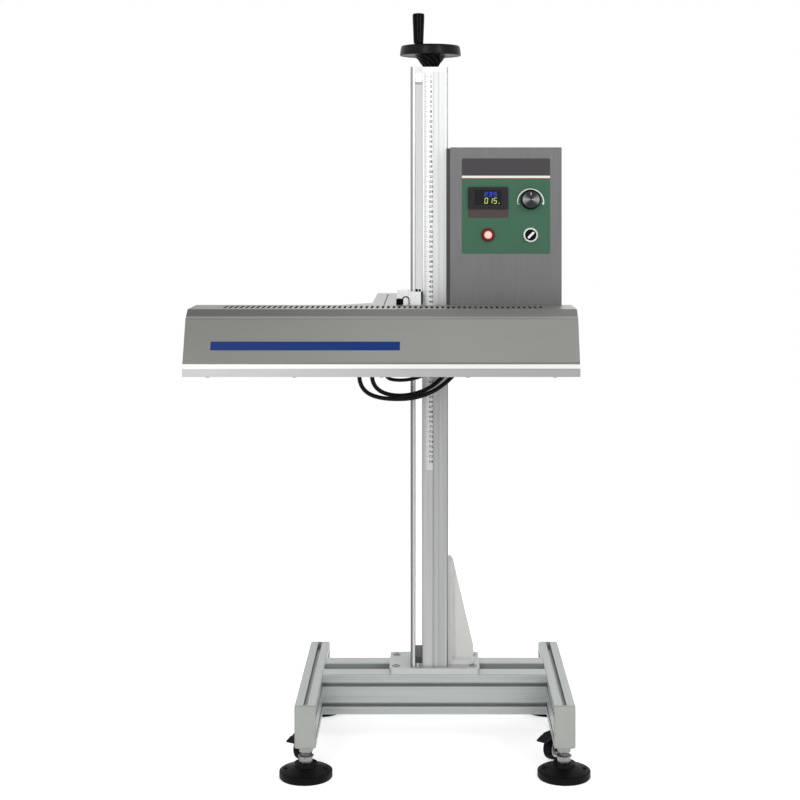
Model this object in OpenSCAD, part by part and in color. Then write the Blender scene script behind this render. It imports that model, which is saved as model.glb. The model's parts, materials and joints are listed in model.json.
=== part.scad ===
// Induction cap sealer on a floor stand: a vented sealing head and a control box ride on a
// carriage that a handwheel and lead screw raise and lower along an aluminium column.
// Millimetres, +Z up, the operator stands on the -Y side.

/* [Stand] */
// Outer width over the two legs
stand_w = 526; // [420:1:640]
// Length of a leg with its end caps
leg_len = 440; // [400:1:560]
// Width of the slotted profile
profile_w = 40; // [36:1:50]
// Height of the slotted profile
profile_h = 80; // [72:1:100]
// Opening of a profile slot
slot_w = 8.2; // [6:0.1:10]
// Height of the legs' underside above the floor
leg_clear = 60; // [58:1:72]
// Thickness of a moulded end cap
cap_t = 5; // [3:0.5:10]
// Distance from the screw axis forward to the front of the legs
leg_front = 255; // [225:1:300]
// Sideways offset of the stand from the screw axis
stand_x = 8; // [-20:1:20]
// Distance from the screw axis forward to the front cross beam
beam_front = 55; // [48:1:70]
// Free gap between the two cross beams
beam_gap = 40; // [30:1:60]
// Width of the base plate
plate_w = 180; // [170:1:240]
// Thickness of the base plate
plate_t = 12; // [8:1:20]
// Diameter of the base plate's bolts
plate_bolt_d = 8; // [6:1:10]
// Inset of the bolts from the base plate's sides
plate_bolt_inset = 13; // [10:1:16]

/* [Levelling feet] */
// Distance of a foot's axis from the leg's end
foot_inset = 22; // [20:1:30]
// Diameter of the nylon pad
foot_d = 100; // [80:1:104]
// Height of the pad's upright edge
foot_edge_h = 15; // [8:1:18]
// Height of the pad's boss
foot_h = 28; // [24:1:32]
// Diameter of the pad's boss
foot_boss_d = 45; // [36:1:50]
// Diameter of the threaded stem
stem_d = 16; // [12:1:16]
// Width across the flats of the foot's nuts
nut_af = 24; // [22:1:30]
// Height of a foot's nut
nut_h = 12; // [9:1:13]

/* [Casters] */
// Distance of a swivel axis from the leg's end
caster_inset = 130; // [126:1:150]
// Diameter of a caster wheel
caster_d = 46; // [40:1:47]
// Width of a caster wheel
caster_w = 19; // [14:1:22]
// Distance from the swivel axis to the axle
caster_trail = 22; // [18:1:26]
// Gap between a caster wheel and the floor
caster_lift = 2.5; // [1:0.5:4]
// Thickness of a caster's mounting plate
caster_plate_t = 3; // [2:0.5:4]
// Thickness of the fork's sheet
fork_t = 2; // [1.5:0.5:3]
// Diameter of a caster's axle
axle_d = 6; // [5:1:8]

/* [Column] */
// Height of the column profiles
column_h = 1190; // [1100:1:1400]
// Depth of the column
column_d = 90; // [84:1:110]
// Thickness of the side plate
side_t = 9.6; // [6:0.2:14]
// Width of the gap that the carriage runs in
run_gap = 13.6; // [11:0.2:18]
// Width of the main profile
channel_w = 51.8; // [48:0.2:60]
// Width of the main profile's hollow, back to front
hollow_d = 48; // [44:1:54]
// Height of the block at the foot of the column
foot_block_h = 20; // [16:1:40]
// Thickness of the column's top plate
top_plate_t = 10; // [6:1:16]
// Height of the gusset beside the column
gusset_h = 208; // [120:1:260]
// Width of the gusset at its foot
gusset_w = 52; // [40:1:58]
// Thickness of the gusset's sheet
gusset_t = 8; // [5:1:12]
// Length of the scale rule
rule_len = 794; // [500:1:850]
// Width of the scale rule
rule_w = 17; // [12:1:18]

/* [Lead screw and handwheel] */
// Diameter of the lead screw
screw_d = 20; // [18:1:22]
// Diameter of the screw's journals
journal_d = 15; // [12:1:16]
// Outer diameter of a screw bearing
bearing_d = 32; // [28:1:36]
// Height of a screw bearing
bearing_h = 9; // [7:1:12]
// Diameter of the handwheel
handwheel_d = 120; // [100:1:125]
// Height of the handwheel's rim
rim_h = 21; // [16:1:26]
// Radial width of the handwheel's rim
rim_w = 15; // [11:1:20]
// Height of the ribbed hub below the rim
hub_h = 22; // [18:1:30]
// Length of the revolving grip
grip_h = 65; // [50:1:80]
// Diameter of the grip at its top
grip_top_d = 23.5; // [19:0.5:28]
// Diameter of the grip at its foot
grip_foot_d = 18; // [15:0.5:22]
// Direction of the grip seen from above, from the wheel's axis
grip_angle = 241; // [180:1:300]

/* [Lift] */
// Height of the sealing head's underside above the floor
head_z = 758; // [740:1:780]
// Width of the reach arm
arm_w = 50; // [44:1:56]
// Height of the reach arm
arm_h = 50; // [40:1:60]
// Length of the reach arm behind the head
arm_len = 407; // [300:1:440]
// Wall of the reach arm
arm_wall = 4; // [3:0.5:6]
// Height of the carriage block in the column
carriage_h = 78; // [60:1:100]
// Width of the carriage's front block
front_block_w = 20; // [16:1:22]
// Depth of the carriage's front block
front_block_d = 29; // [20:1:32]
// Width of the arm gusset along the head
arm_gusset_w = 98; // [60:1:140]
// Length of the arm gusset along the arm
arm_gusset_l = 103; // [60:1:140]
// Thickness of the arm gusset
arm_gusset_t = 8; // [5:1:12]
// Thickness of the box shelf
shelf_t = 4; // [3:0.5:6]

/* [Sealing head] */
// Length of the sealing head
head_len = 740; // [600:1:800]
// Depth of the sealing head at its tray
head_d = 189; // [180:1:200]
// Height of the tray
tray_h = 27; // [22:1:34]
// Height of the hood above the tray
hood_h = 94; // [80:1:100]
// Setback of the sloped front at its top
front_slope = 36; // [20:1:45]
// Height of the bevel under the hood's top
bevel_h = 17; // [10:1:24]
// Depth of the bevel under the hood's top
bevel_d = 29; // [16:1:36]
// Sheet thickness of the hood
hood_t = 2; // [1.5:0.5:3]
// Sheet thickness of the tray
tray_t = 3; // [2:0.5:4]
// Width of a vent slot
vent_w = 5; // [3:0.5:6]
// Length of a vent slot
vent_len = 66; // [40:1:76]
// Distance between vent slots
vent_pitch = 10.5; // [9:0.5:16]
// Number of vent slots
vent_count = 59; // [20:1:60]
// Thickness of the insulating coil board
board_t = 8; // [5:1:12]
// Width of the coil's winding
winding_w = 18; // [12:1:24]
// Height of the coil's winding
winding_h = 12; // [8:1:16]
// Number of ferrite bars
ferrite_count = 10; // [4:1:12]

/* [Control box] */
// Width of the control box
box_w = 220; // [216:1:260]
// Depth of the control box
box_d = 200; // [180:1:220]
// Height of the control box
box_h = 321; // [300:1:330]
// Sheet thickness of the control box
box_t = 2; // [1.5:0.5:3]
// Clearance between the box and the column
box_gap = 4; // [3:0.5:10]
// Width of the printed panel
panel_w = 174; // [168:1:200]
// Height of the printed panel
panel_h = 188; // [180:1:220]
// Thickness of the printed panel
panel_t = 1; // [0.5:0.1:2]
// Distance from the box's top to the panel
panel_drop = 22; // [15:1:40]
// Width of the panel meter's bezel
meter_w = 79; // [72:1:84]
// Height of the panel meter's bezel
meter_h = 43; // [38:1:46]
// Diameter of the power knob
knob_d = 40; // [30:1:44]
// Height of the power knob
knob_h = 17; // [12:1:22]
// Diameter of the rotary switch's bezel
switch_d = 30; // [27:1:32]
// Diameter of the indicator lamp's bezel
lamp_d = 25; // [20:1:28]

/* [Cables] */
// Diameter of a coil cable
cable_d = 8.5; // [6:0.5:9]
// Diameter of the sensor cable
sensor_d = 7; // [5:0.5:8]
// Diameter of a cable gland
gland_d = 18; // [16:1:20]

/* [Hidden] */
$fn = 64;
// Radial play of a turning fit, free gap between sliding faces, and play of a screwed hole
play = 0.05;
slide = 0.4;
bolt_play = 0.4;

// Stand
leg_pitch = stand_w - profile_w;
leg_back = leg_len - leg_front;
leg_top = leg_clear + profile_h;
beam_len = stand_w - 2 * profile_w;
plate_d = 2 * profile_w + beam_gap;
beam_back = plate_d - beam_front;
column_z = leg_top + plate_t;
foot_y = [-leg_front + foot_inset, leg_back - foot_inset];
caster_y = [-leg_front + caster_inset, leg_back - caster_inset];
leg_x = [stand_x - leg_pitch / 2, stand_x + leg_pitch / 2];
slot_depth = 12.2;
slot_lip = 4.5;
slot_room = 20;
stem_bore = stem_d + 2 * bolt_play;
stem_into_leg = 45;

// Casters
axle_z = caster_lift + caster_d / 2;
race_h = 3;
race_d = 34;
race_z = leg_clear - caster_plate_t - race_h;
crown_z = race_z - 0.3 - 3.2;
king_d = 8;
fork_in = caster_w + 2;
brake_x = caster_trail + 14;
brake_z = axle_z + caster_d / 2 + 1.5;
caster_turn = [[238, 215], [232, 300]];

// Column: the screw axis is the origin in plan
channel_x = -16.8;
channel_right = channel_x + channel_w;
gap_x = channel_x - run_gap;
column_left = gap_x - side_t;
column_w = channel_right - column_left;
column_top = column_z + column_h;
hollow_w = 39;
hollow_right = channel_x + hollow_w;
groove_x = 6.4;
rule_x = -12.6;
rule_t = 1;
rule_top = column_top - 2;
block_h = foot_block_h;

// Handwheel
wheel_z = column_top + top_plate_t + 0.5;
rim_z = wheel_z + hub_h;
rim_top = rim_z + rim_h;
grip_r = handwheel_d / 2 - rim_w / 2 - 3;
grip_at = [grip_r * cos(grip_angle), grip_r * sin(grip_angle)];
spindle_d = 8;
spindle_len = grip_h - 12;

// Sealing head
head_x = -92;
head_back = -88;
head_front = head_back - head_d;
hood_z = head_z + tray_h;
head_top = hood_z + hood_h;
tray_step = 7;
hood_front = head_front + tray_step;
hood_profile = [
    [hood_front, hood_z],
    [head_back, hood_z],
    [head_back, head_top],
    [hood_front + front_slope + bevel_d, head_top],
    [hood_front + front_slope, head_top - bevel_h],
];
tray_profile = [
    [head_front, head_z],
    [head_back, head_z],
    [head_back, hood_z],
    [hood_front, hood_z],
    [head_front, head_z + tray_h / 2],
];
window_margin = 26;
board_z = head_z + tray_t;
coil_z = board_z + board_t;
ferrite_z = coil_z + winding_h;
coil_len = head_len - 120;
coil_d = 104;
ferrite_l = coil_d + 8;
ferrite_w = 26;
ferrite_t = 14;
inner_y = (head_front + head_back) / 2;

// Lift
arm_top = head_top - 1.5;
arm_z = arm_top - arm_h;
arm_flange_t = 8;
arm_back = head_back + arm_len;
arm_right = head_x + arm_w / 2;
arm_left = head_x - arm_w / 2;
carriage_top = head_top - 11.5;
carriage_z = carriage_top - carriage_h;
front_block_x = column_left + 1;
front_block_top = head_top + 25;
front_block_y = -column_d / 2 - 1;
clamp_top = front_block_top + 2.5;
nut_d = 32;
nut_flange_d = 42;
nut_flange_t = 6;

// Control box
box_x = channel_right + box_gap;
box_y = head_back + 3;
box_z = head_top - 10;
shelf_z = box_z - shelf_t;
panel_x = box_x + box_w / 2;
panel_z = box_z + box_h - panel_drop;
left_x = panel_x - 35.5;
right_x = panel_x + 48.5;
meter_z = panel_z - 78;
knob_z = panel_z - 81;
lamp_z = panel_z - 151;
panel_y = box_y - panel_t;
knob_shaft_d = 6;
rotor_d = switch_d - 8;
rotor_shaft_d = 8;
mains_at = [box_x + 45, box_z + 60];

// Cable routes, from the head's grommets to the box's glands
grommet_h = 4;
gland_h = 17;
cable_y = -104;
head_exit_x = [-140, -115, -90];
box_exit = [[100, -70], [76, -70], [52, -70]];
route_long = [
    [-140, -104, 754], [-140, -104, 743], [-138.5, -104.5, 730], [-133.5, -105, 718],
    [-124.5, -105.5, 708.5], [-112, -106, 702], [-97, -106, 698], [-80, -106, 696],
    [-62, -106, 695.5], [-44, -106, 696.5], [-26, -105.5, 699.5], [-9, -104, 704.5],
    [7, -101.5, 711.5], [22, -98, 720.5], [36, -93, 731.5], [49, -87, 745],
    [60.5, -81, 761], [71, -76.5, 779], [81, -73, 798], [90, -71, 816],
    [97, -70, 831], [100, -70, 841], [100, -70, 848],
];
route_middle = [
    [-115, -104, 754], [-115, -104, 743], [-113.5, -103.5, 731], [-108.5, -102, 720],
    [-100, -100, 711.5], [-88, -98, 705.5], [-74, -96, 702], [-58, -94.5, 701],
    [-42, -94, 702.5], [-26, -93, 706], [-11, -91.5, 711.5], [3, -89, 719],
    [16, -86, 729], [27.5, -82, 741.5], [37.5, -78, 757], [47, -75, 774],
    [56, -72.5, 792], [64.5, -71, 810], [72, -70, 828], [76, -70, 840],
    [76, -70, 848],
];
route_short = [
    [-90, -104, 754], [-90, -104, 748], [-86.5, -104, 740], [-79, -103, 734.5],
    [-68, -102, 732.5], [-56, -100.5, 732], [-43, -98.5, 733], [-30, -96, 735.5],
    [-17, -93, 739.5], [-5, -89.5, 745.5], [6, -86, 753.5], [16, -82, 763.5],
    [25, -78, 776], [33.5, -74.5, 790.5], [41, -72, 806.5], [47.5, -70.5, 823],
    [52, -70, 840], [52, -70, 848],
];

// The origin is the middle of the outer box, on the floor
outer_left = head_x - head_len / 2;
outer_right = stand_x + leg_pitch / 2 + foot_d / 2;
outer_front = min(head_front, foot_y[0] - foot_d / 2);
frame_shift = [-(outer_left + outer_right) / 2, -(outer_front + arm_back) / 2, 0];

// Shared shapes

// Direction of a vector
function unit(v) = v / norm(v);

// Inward normal of one side of a counter-clockwise outline
function side_normal(p, i) =
    let (d = unit(p[(i + 1) % len(p)] - p[i]))
    [-d[1], d[0]];

// Outline moved inwards by t with mitred corners
function inset(p, t) = [
    for (i = [0 : len(p) - 1])
    let (a = side_normal(p, (i + len(p) - 1) % len(p)), b = side_normal(p, i))
    p[i] + t * (a + b) / (1 + a * b)
];

// Extrusion along +X of an outline drawn in Y and Z
module along_x(length) {
    rotate([90, 0, 90]) linear_extrude(length) children();
}

// Extrusion towards -Y, from y, of an outline drawn in X and Z
module along_y(y, length) {
    translate([0, y, 0]) rotate([90, 0, 0]) linear_extrude(length) children();
}

// Block between two corners
module block(low, high) {
    translate(low) cube(high - low);
}

// Flat rectangle with round corners, centred
module rounded_rect(w, h, r) {
    square([w - 2 * r, h], center = true);
    square([w, h - 2 * r], center = true);
    for (x = [-1, 1], y = [-1, 1])
        translate([x * (w / 2 - r), y * (h / 2 - r)]) circle(r);
}

// Flat slot with round ends, centred, its length along Y
module obround(w, length) {
    square([w, length - w], center = true);
    for (y = [-1, 1]) translate([0, y * (length - w) / 2]) circle(d = w);
}

// Hexagon across the flats, standing on XY
module hexagon(af, h) {
    cylinder(d = af / cos(30), h = h, $fn = 6);
}

// Places children so that their +Z faces the operator, from the panel's front
module on_panel(x, z) {
    translate([x, panel_y, z]) rotate([90, 0, 0]) children();
}

// Stand

// One T-slot opening on the +Y side of the origin, cut inwards
module slot_cut() {
    polygon([
        [-slot_w / 2, 1], [-slot_w / 2, -slot_lip], [-slot_room / 2, -slot_lip],
        [-slot_room / 2, -slot_lip - 2.5], [-slot_room / 4, -slot_depth],
        [slot_room / 4, -slot_depth], [slot_room / 2, -slot_lip - 2.5],
        [slot_room / 2, -slot_lip], [slot_w / 2, -slot_lip], [slot_w / 2, 1],
    ]);
}

// Section of the slotted profile, centred, with or without slots on its narrow sides
module slotted_section(narrow_slots) {
    slot_rise = profile_h / 4;
    core_d = 6.8;
    difference() {
        rounded_rect(profile_w, profile_h, 2);
        for (side = [-90, 90], rise = [-slot_rise, slot_rise])
            translate([0, rise]) rotate(side) translate([0, profile_w / 2]) slot_cut();
        if (narrow_slots)
            for (side = [0, 180]) rotate(side) translate([0, profile_h / 2]) slot_cut();
        for (rise = [-slot_rise, slot_rise]) translate([0, rise]) circle(d = core_d);
    }
}

// Leg with the bores of its two feet drilled from below
module leg(x) {
    color("#b4bab7") difference() {
        translate([x, 0, leg_clear + profile_h / 2])
            along_y(leg_back - cap_t, leg_len - 2 * cap_t) slotted_section(true);
        for (y = foot_y)
            translate([x, y, leg_clear - 1]) cylinder(d = stem_bore, h = stem_into_leg + 3);
    }
}

module leg_left() {
    leg(leg_x[0]);
}

module leg_right() {
    leg(leg_x[1]);
}

// Moulded caps with a stepped round edge, one on each end of the legs
module leg_end_caps() {
    edge = 1.5;
    color("#a5aaa2")
        for (x = leg_x, back = [0, 1])
            translate([x, back ? leg_back : -leg_front, leg_clear + profile_h / 2])
                mirror([0, back, 0]) {
                    along_y(cap_t, cap_t - edge) rounded_rect(profile_w, profile_h, 4);
                    along_y(edge, edge)
                        rounded_rect(profile_w - 2 * edge, profile_h - 2 * edge, 4 - edge / 2);
                }
}

// Bolt places of the base plate, over the middle of each beam
module plate_bolt_places() {
    for (x = [-1, 1], y = [-beam_front + profile_w / 2, beam_back - profile_w / 2])
        translate([stand_x + x * (plate_w / 2 - plate_bolt_inset), y, 0]) children();
}

// Cross beam between the legs, drilled for the base plate's bolts
module cross_beam(front) {
    bolt_into_beam = 18;
    color("#b4bab7") difference() {
        translate([stand_x - beam_len / 2, front + profile_w / 2, leg_clear + profile_h / 2])
            along_x(beam_len) slotted_section(false);
        translate([0, 0, leg_top - bolt_into_beam])
            plate_bolt_places() cylinder(d = plate_bolt_d + bolt_play, h = bolt_into_beam + 1);
    }
}

module cross_beam_front() {
    cross_beam(-beam_front);
}

module cross_beam_rear() {
    cross_beam(beam_back - profile_w);
}

module base_plate() {
    color("#c6cac9") difference() {
        translate([stand_x, plate_d / 2 - beam_front, leg_top])
            linear_extrude(plate_t) rounded_rect(plate_w, plate_d, 6);
        translate([0, 0, leg_top - 1])
            plate_bolt_places() cylinder(d = plate_bolt_d + bolt_play, h = plate_t + 2);
    }
}

// Lock nuts that jam each stem against its leg
module foot_lock_nuts() {
    color("#b9bcc0")
        for (x = leg_x, y = foot_y)
            translate([x, y, leg_clear - nut_h]) difference() {
                hexagon(nut_af, nut_h);
                translate([0, 0, -1]) cylinder(d = stem_d + 2 * play, h = nut_h + 2);
            }
}

// Nylon pad: upright edge, dome, boss and two lugs round a socket for the stem
module foot_pad(x, y) {
    lug_d = 14;
    lug_r = foot_d / 2 - lug_d;
    stem_socket = 12;
    color("#1d1e20") translate([x, y, 0]) difference() {
        union() {
            rotate_extrude() polygon([
                [0, 0], [foot_d / 2 - 2, 0], [foot_d / 2, 2], [foot_d / 2, foot_edge_h - 2],
                [foot_d / 2 - 3, foot_edge_h], [foot_boss_d / 2 + 1, foot_h - 5],
                [foot_boss_d / 2 - 1, foot_h], [0, foot_h],
            ]);
            for (side = [-1, 1])
                translate([side * lug_r, 0, foot_edge_h - 6]) cylinder(d = lug_d, h = 11);
        }
        translate([0, 0, foot_h - stem_socket]) cylinder(d = stem_d, h = stem_socket + 1);
    }
}

// Zinc stem with its hexagon on the pad
module foot_stem(x, y) {
    stem_foot = foot_h - 12;
    color("#b9bcc0") translate([x, y, 0]) {
        translate([0, 0, stem_foot])
            cylinder(d = stem_d, h = leg_clear + stem_into_leg - 6 - stem_foot);
        translate([0, 0, foot_h]) hexagon(nut_af, nut_h);
    }
}

module foot_pad_front_left() {
    foot_pad(leg_x[0], foot_y[0]);
}

module foot_pad_front_right() {
    foot_pad(leg_x[1], foot_y[0]);
}

module foot_pad_rear_left() {
    foot_pad(leg_x[0], foot_y[1]);
}

module foot_pad_rear_right() {
    foot_pad(leg_x[1], foot_y[1]);
}

module foot_stem_front_left() {
    foot_stem(leg_x[0], foot_y[0]);
}

module foot_stem_front_right() {
    foot_stem(leg_x[1], foot_y[0]);
}

module foot_stem_rear_left() {
    foot_stem(leg_x[0], foot_y[1]);
}

module foot_stem_rear_right() {
    foot_stem(leg_x[1], foot_y[1]);
}

// Casters

// Plate under the leg with the upper race and the king pin
module caster_plates() {
    king_head_d = 14;
    king_head_t = 2;
    color("#9da1a5")
        for (x = leg_x, y = caster_y)
            translate([x, y, 0]) {
                translate([0, 0, leg_clear - caster_plate_t])
                    linear_extrude(caster_plate_t) rounded_rect(profile_w - 2, 56, 4);
                translate([0, 0, race_z]) cylinder(d = race_d, h = race_h);
                translate([0, 0, crown_z - 0.3 - king_head_t]) {
                    cylinder(d = king_head_d, h = king_head_t);
                    cylinder(d = king_d, h = race_z - crown_z + king_head_t + 1);
                }
            }
}

// Swivel axis of one caster, with its trail turned to where it stands
module caster_place(side, row) {
    translate([leg_x[side], caster_y[row], 0]) rotate([0, 0, caster_turn[side][row]]) children();
}

// Folded fork: crown round the king pin, two arms, the axle and the brake's pin
module caster_fork(side, row, braked) {
    crown_t = 3.2;
    crown_r = race_d / 2 - 1;
    boss_r = axle_d / 2 + 4;
    brake_pin_d = 4;
    over = fork_in + 2 * fork_t;
    color("#a4a8ab") caster_place(side, row) {
        difference() {
            union() {
                translate([0, 0, crown_z]) cylinder(r = crown_r, h = crown_t);
                for (y = [-over / 2, fork_in / 2]) along_y(y + fork_t, fork_t) hull() {
                    translate([-crown_r / 2, crown_z + 1]) square([crown_r, crown_t - 1]);
                    translate([caster_trail, axle_z]) circle(boss_r, $fn = 32);
                    if (braked) translate([brake_x, brake_z]) circle(brake_pin_d, $fn = 32);
                }
            }
            translate([0, 0, crown_z - 1]) cylinder(d = king_d + 2 * play, h = crown_t + 2);
        }
        along_y_pin([caster_trail, axle_z], axle_d, over + 3);
        if (braked) along_y_pin([brake_x, brake_z], brake_pin_d, over + 2);
    }
}

// Round pin along Y through a point in X and Z
module along_y_pin(at, d, length) {
    translate([at[0], length / 2, at[1]]) rotate([90, 0, 0]) cylinder(d = d, h = length);
}

// Wheel with a crowned tread and a sunk web on both sides
module caster_wheel(side, row) {
    r = caster_d / 2;
    half = caster_w / 2;
    color("#232427") caster_place(side, row)
        translate([caster_trail, 0, axle_z]) rotate([90, 0, 0]) rotate_extrude() polygon([
            [axle_d / 2 + play, -half], [axle_d / 2 + 4, -half], [axle_d / 2 + 4, -half + 2],
            [r - 7, -half + 2], [r - 6, -half], [r - 2.5, -half], [r, -half + 3],
            [r, half - 3], [r - 2.5, half], [r - 6, half], [r - 7, half - 2],
            [axle_d / 2 + 4, half - 2], [axle_d / 2 + 4, half], [axle_d / 2 + play, half],
        ]);
}

// Pedal on the fork's pin, with the shoe that presses the tread
module caster_brake(side) {
    pedal_w = fork_in - 1;
    pin_bore = 4 + 2 * play;
    color("#2b2d30") caster_place(side, 0) translate([brake_x, 0, brake_z]) difference() {
        along_y(pedal_w / 2, pedal_w) {
            circle(4);
            polygon([[0, -4], [4, -6], [8, -3], [27, -5], [28, -2], [14, 3], [0, 4]]);
        }
        along_y_pin([0, 0], pin_bore, pedal_w + 2);
    }
}

module caster_fork_front_left() {
    caster_fork(0, 0, true);
}

module caster_fork_front_right() {
    caster_fork(1, 0, true);
}

module caster_fork_rear_left() {
    caster_fork(0, 1, false);
}

module caster_fork_rear_right() {
    caster_fork(1, 1, false);
}

module caster_wheel_front_left() {
    caster_wheel(0, 0);
}

module caster_wheel_front_right() {
    caster_wheel(1, 0);
}

module caster_wheel_rear_left() {
    caster_wheel(0, 1);
}

module caster_wheel_rear_right() {
    caster_wheel(1, 1);
}

module caster_brake_left() {
    caster_brake(0);
}

module caster_brake_right() {
    caster_brake(1);
}

// Column

module column_side_plate() {
    color("#cdd1d2") translate([column_left + side_t / 2, 0, column_z])
        linear_extrude(column_h) rounded_rect(side_t, column_d, 1.5);
}

// C-section open towards the carriage's gap, with hollow walls and a thin front groove
module column_profile() {
    wall_d = (column_d - hollow_d) / 2;
    chamber_d = wall_d - 8;
    groove_w = 2.5;
    groove_t = 3;
    color("#cdd1d2") translate([0, 0, column_z]) linear_extrude(column_h) difference() {
        translate([channel_x + channel_w / 2, 0]) rounded_rect(channel_w, column_d, 3);
        translate([channel_x - 1, -hollow_d / 2]) square([hollow_w + 1, hollow_d]);
        for (y = [-1, 1]) translate([channel_x + channel_w / 2, y * (column_d - wall_d) / 2])
            rounded_rect(channel_w - 12, chamber_d, 2);
        translate([groove_x - groove_w / 2, -column_d / 2 - 1]) square([groove_w, groove_t + 1]);
    }
}

// Block that fills the gap and the hollow, with a bearing seat open upwards
module column_block(h) {
    difference() {
        union() {
            block([gap_x, -hollow_d / 2, 0], [hollow_right, hollow_d / 2, h]);
            block([gap_x, -column_d / 2 + 3, 0], [channel_x, column_d / 2 - 3, h]);
        }
        translate([0, 0, h - bearing_h]) cylinder(d = bearing_d + 2 * play, h = bearing_h + 1);
        translate([0, 0, -1]) cylinder(d = journal_d + 2, h = h + 2);
    }
}

module column_foot_block() {
    color("#3c4043") translate([0, 0, column_z]) column_block(foot_block_h);
}

// Top plate made in one with the block below it
module column_head_block() {
    color("#b9bdbf") {
        translate([0, 0, column_top - block_h]) column_block(block_h);
        translate([0, 0, column_top]) difference() {
            translate([column_left + column_w / 2, 0, 0])
                linear_extrude(top_plate_t) rounded_rect(column_w, column_d, 2);
            translate([0, 0, -1]) cylinder(d = journal_d + 4, h = top_plate_t + 2);
        }
    }
}

// Angle of two flanges with a triangular web between column and base plate
module column_gusset() {
    flange_d = 50;
    tip_w = 10;
    heel_h = 30;
    color("#c2c6c7") translate([channel_right, 0, column_z]) {
        block([0, -flange_d / 2, 0], [gusset_t, flange_d / 2, gusset_h]);
        block([0, -flange_d / 2, 0], [gusset_w, flange_d / 2, gusset_t]);
        along_y(gusset_t / 2, gusset_t) polygon([
            [0, 0], [gusset_w, 0], [gusset_w, heel_h], [tip_w, gusset_h], [0, gusset_h],
        ]);
    }
}

module scale_rule() {
    color("#dfe2e2") block([rule_x, -column_d / 2 - rule_t, rule_top - rule_len],
        [rule_x + rule_w, -column_d / 2, rule_top]);
}

// One bearing in the foot block and one in the head block
module screw_bearings() {
    color("#8d9194")
        for (z = [column_z + foot_block_h, column_top])
            translate([0, 0, z - bearing_h]) difference() {
                cylinder(d = bearing_d, h = bearing_h);
                translate([0, 0, -1]) cylinder(d = journal_d + 2 * play, h = bearing_h + 2);
            }
}

// Screw between its two bearings, with the journals and the handwheel's seat
module lead_screw() {
    end_gap = 0.2;
    low = column_z + foot_block_h + end_gap;
    high = column_top - block_h - end_gap;
    color("#a9adb0") {
        translate([0, 0, low]) cylinder(d = screw_d, h = high - low);
        translate([0, 0, low - bearing_h - 2])
            cylinder(d = journal_d, h = rim_z + rim_h / 2 - low + bearing_h + 2);
    }
}

// Handwheel

// Dished wheel: tapered rim, web and a cone hub with slanted ribs
module handwheel() {
    r = handwheel_d / 2;
    taper = 2.5;
    hub_r = 13;
    cone_r = 28;
    web_t = 8;
    boss_r = 17;
    rib_d = 5;
    rib_count = 12;
    rib_twist = 28;
    color("#1b1c1e") {
        difference() {
            translate([0, 0, wheel_z]) union() {
                rotate_extrude() polygon([
                    [0, 0], [hub_r, 0], [hub_r, 2], [cone_r, hub_h], [r - 2, hub_h],
                    [r, hub_h + 2], [r - taper, hub_h + rim_h - 3], [r - taper - 3, hub_h + rim_h],
                    [r - rim_w, hub_h + rim_h], [r - rim_w - 2, hub_h + web_t],
                    [boss_r, hub_h + web_t], [boss_r - 2, hub_h + rim_h - 4],
                    [0, hub_h + rim_h - 4],
                ]);
                for (i = [0 : rib_count - 1]) rotate([0, 0, 360 * i / rib_count]) hub_rib(
                    [hub_r - 1, 0, 1.5],
                    [(cone_r - 1) * cos(rib_twist), (cone_r - 1) * sin(rib_twist), hub_h],
                    rib_d);
            }
            translate([0, 0, wheel_z - 1])
                cylinder(d = journal_d, h = hub_h + rim_h / 2 + 1.5);
            translate([grip_at[0], grip_at[1], rim_top - 10]) cylinder(d = spindle_d, h = 11);
        }
        translate([grip_at[0], grip_at[1], rim_top - 10])
            cylinder(d = spindle_d, h = 10 + spindle_len);
    }
}

// Round rib between two points
module hub_rib(low, high, d) {
    v = high - low;
    translate(low) rotate([0, acos(v[2] / norm(v)), atan2(v[1], v[0])])
        cylinder(d = d, h = norm(v));
}

// Grip that revolves on the spindle
module handwheel_grip() {
    foot = 0.5;
    color("#18191b") translate([grip_at[0], grip_at[1], rim_top + foot]) difference() {
        rotate_extrude() polygon([
            [0, 0], [grip_foot_d / 2 - 1, 0], [grip_foot_d / 2, 1.5],
            [grip_top_d / 2, grip_h - 7], [grip_top_d / 2 - 2.5, grip_h - 1.5],
            [grip_top_d / 2 - 6, grip_h], [0, grip_h],
        ]);
        translate([0, 0, -1]) cylinder(d = spindle_d + 2 * play, h = spindle_len + 2);
    }
}

// Lift

// Front block, web through the column's gap and the housing of the lead nut
module carriage_block() {
    color("#d3d6d7") difference() {
        union() {
            block([front_block_x, front_block_y - front_block_d, carriage_z],
                [front_block_x + front_block_w, front_block_y, front_block_top]);
            block([gap_x + slide, front_block_y - 1, carriage_z],
                [channel_x - slide, hollow_d / 2 - slide, carriage_top]);
            block([channel_x - slide, -hollow_d / 2 + slide, carriage_z],
                [hollow_right - slide, hollow_d / 2 - slide, carriage_top]);
        }
        translate([0, 0, carriage_z - 1]) cylinder(d = nut_d, h = carriage_h + 2);
    }
}

// Bronze nut with its flange on top of the carriage
module lead_nut() {
    color("#a5854a") difference() {
        union() {
            translate([0, 0, carriage_z]) cylinder(d = nut_d, h = carriage_h);
            translate([0, 0, carriage_top]) cylinder(d = nut_flange_d, h = nut_flange_t);
        }
        translate([0, 0, carriage_z - 1])
            cylinder(d = screw_d + 2 * play, h = carriage_h + nut_flange_t + 2);
    }
}

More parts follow.
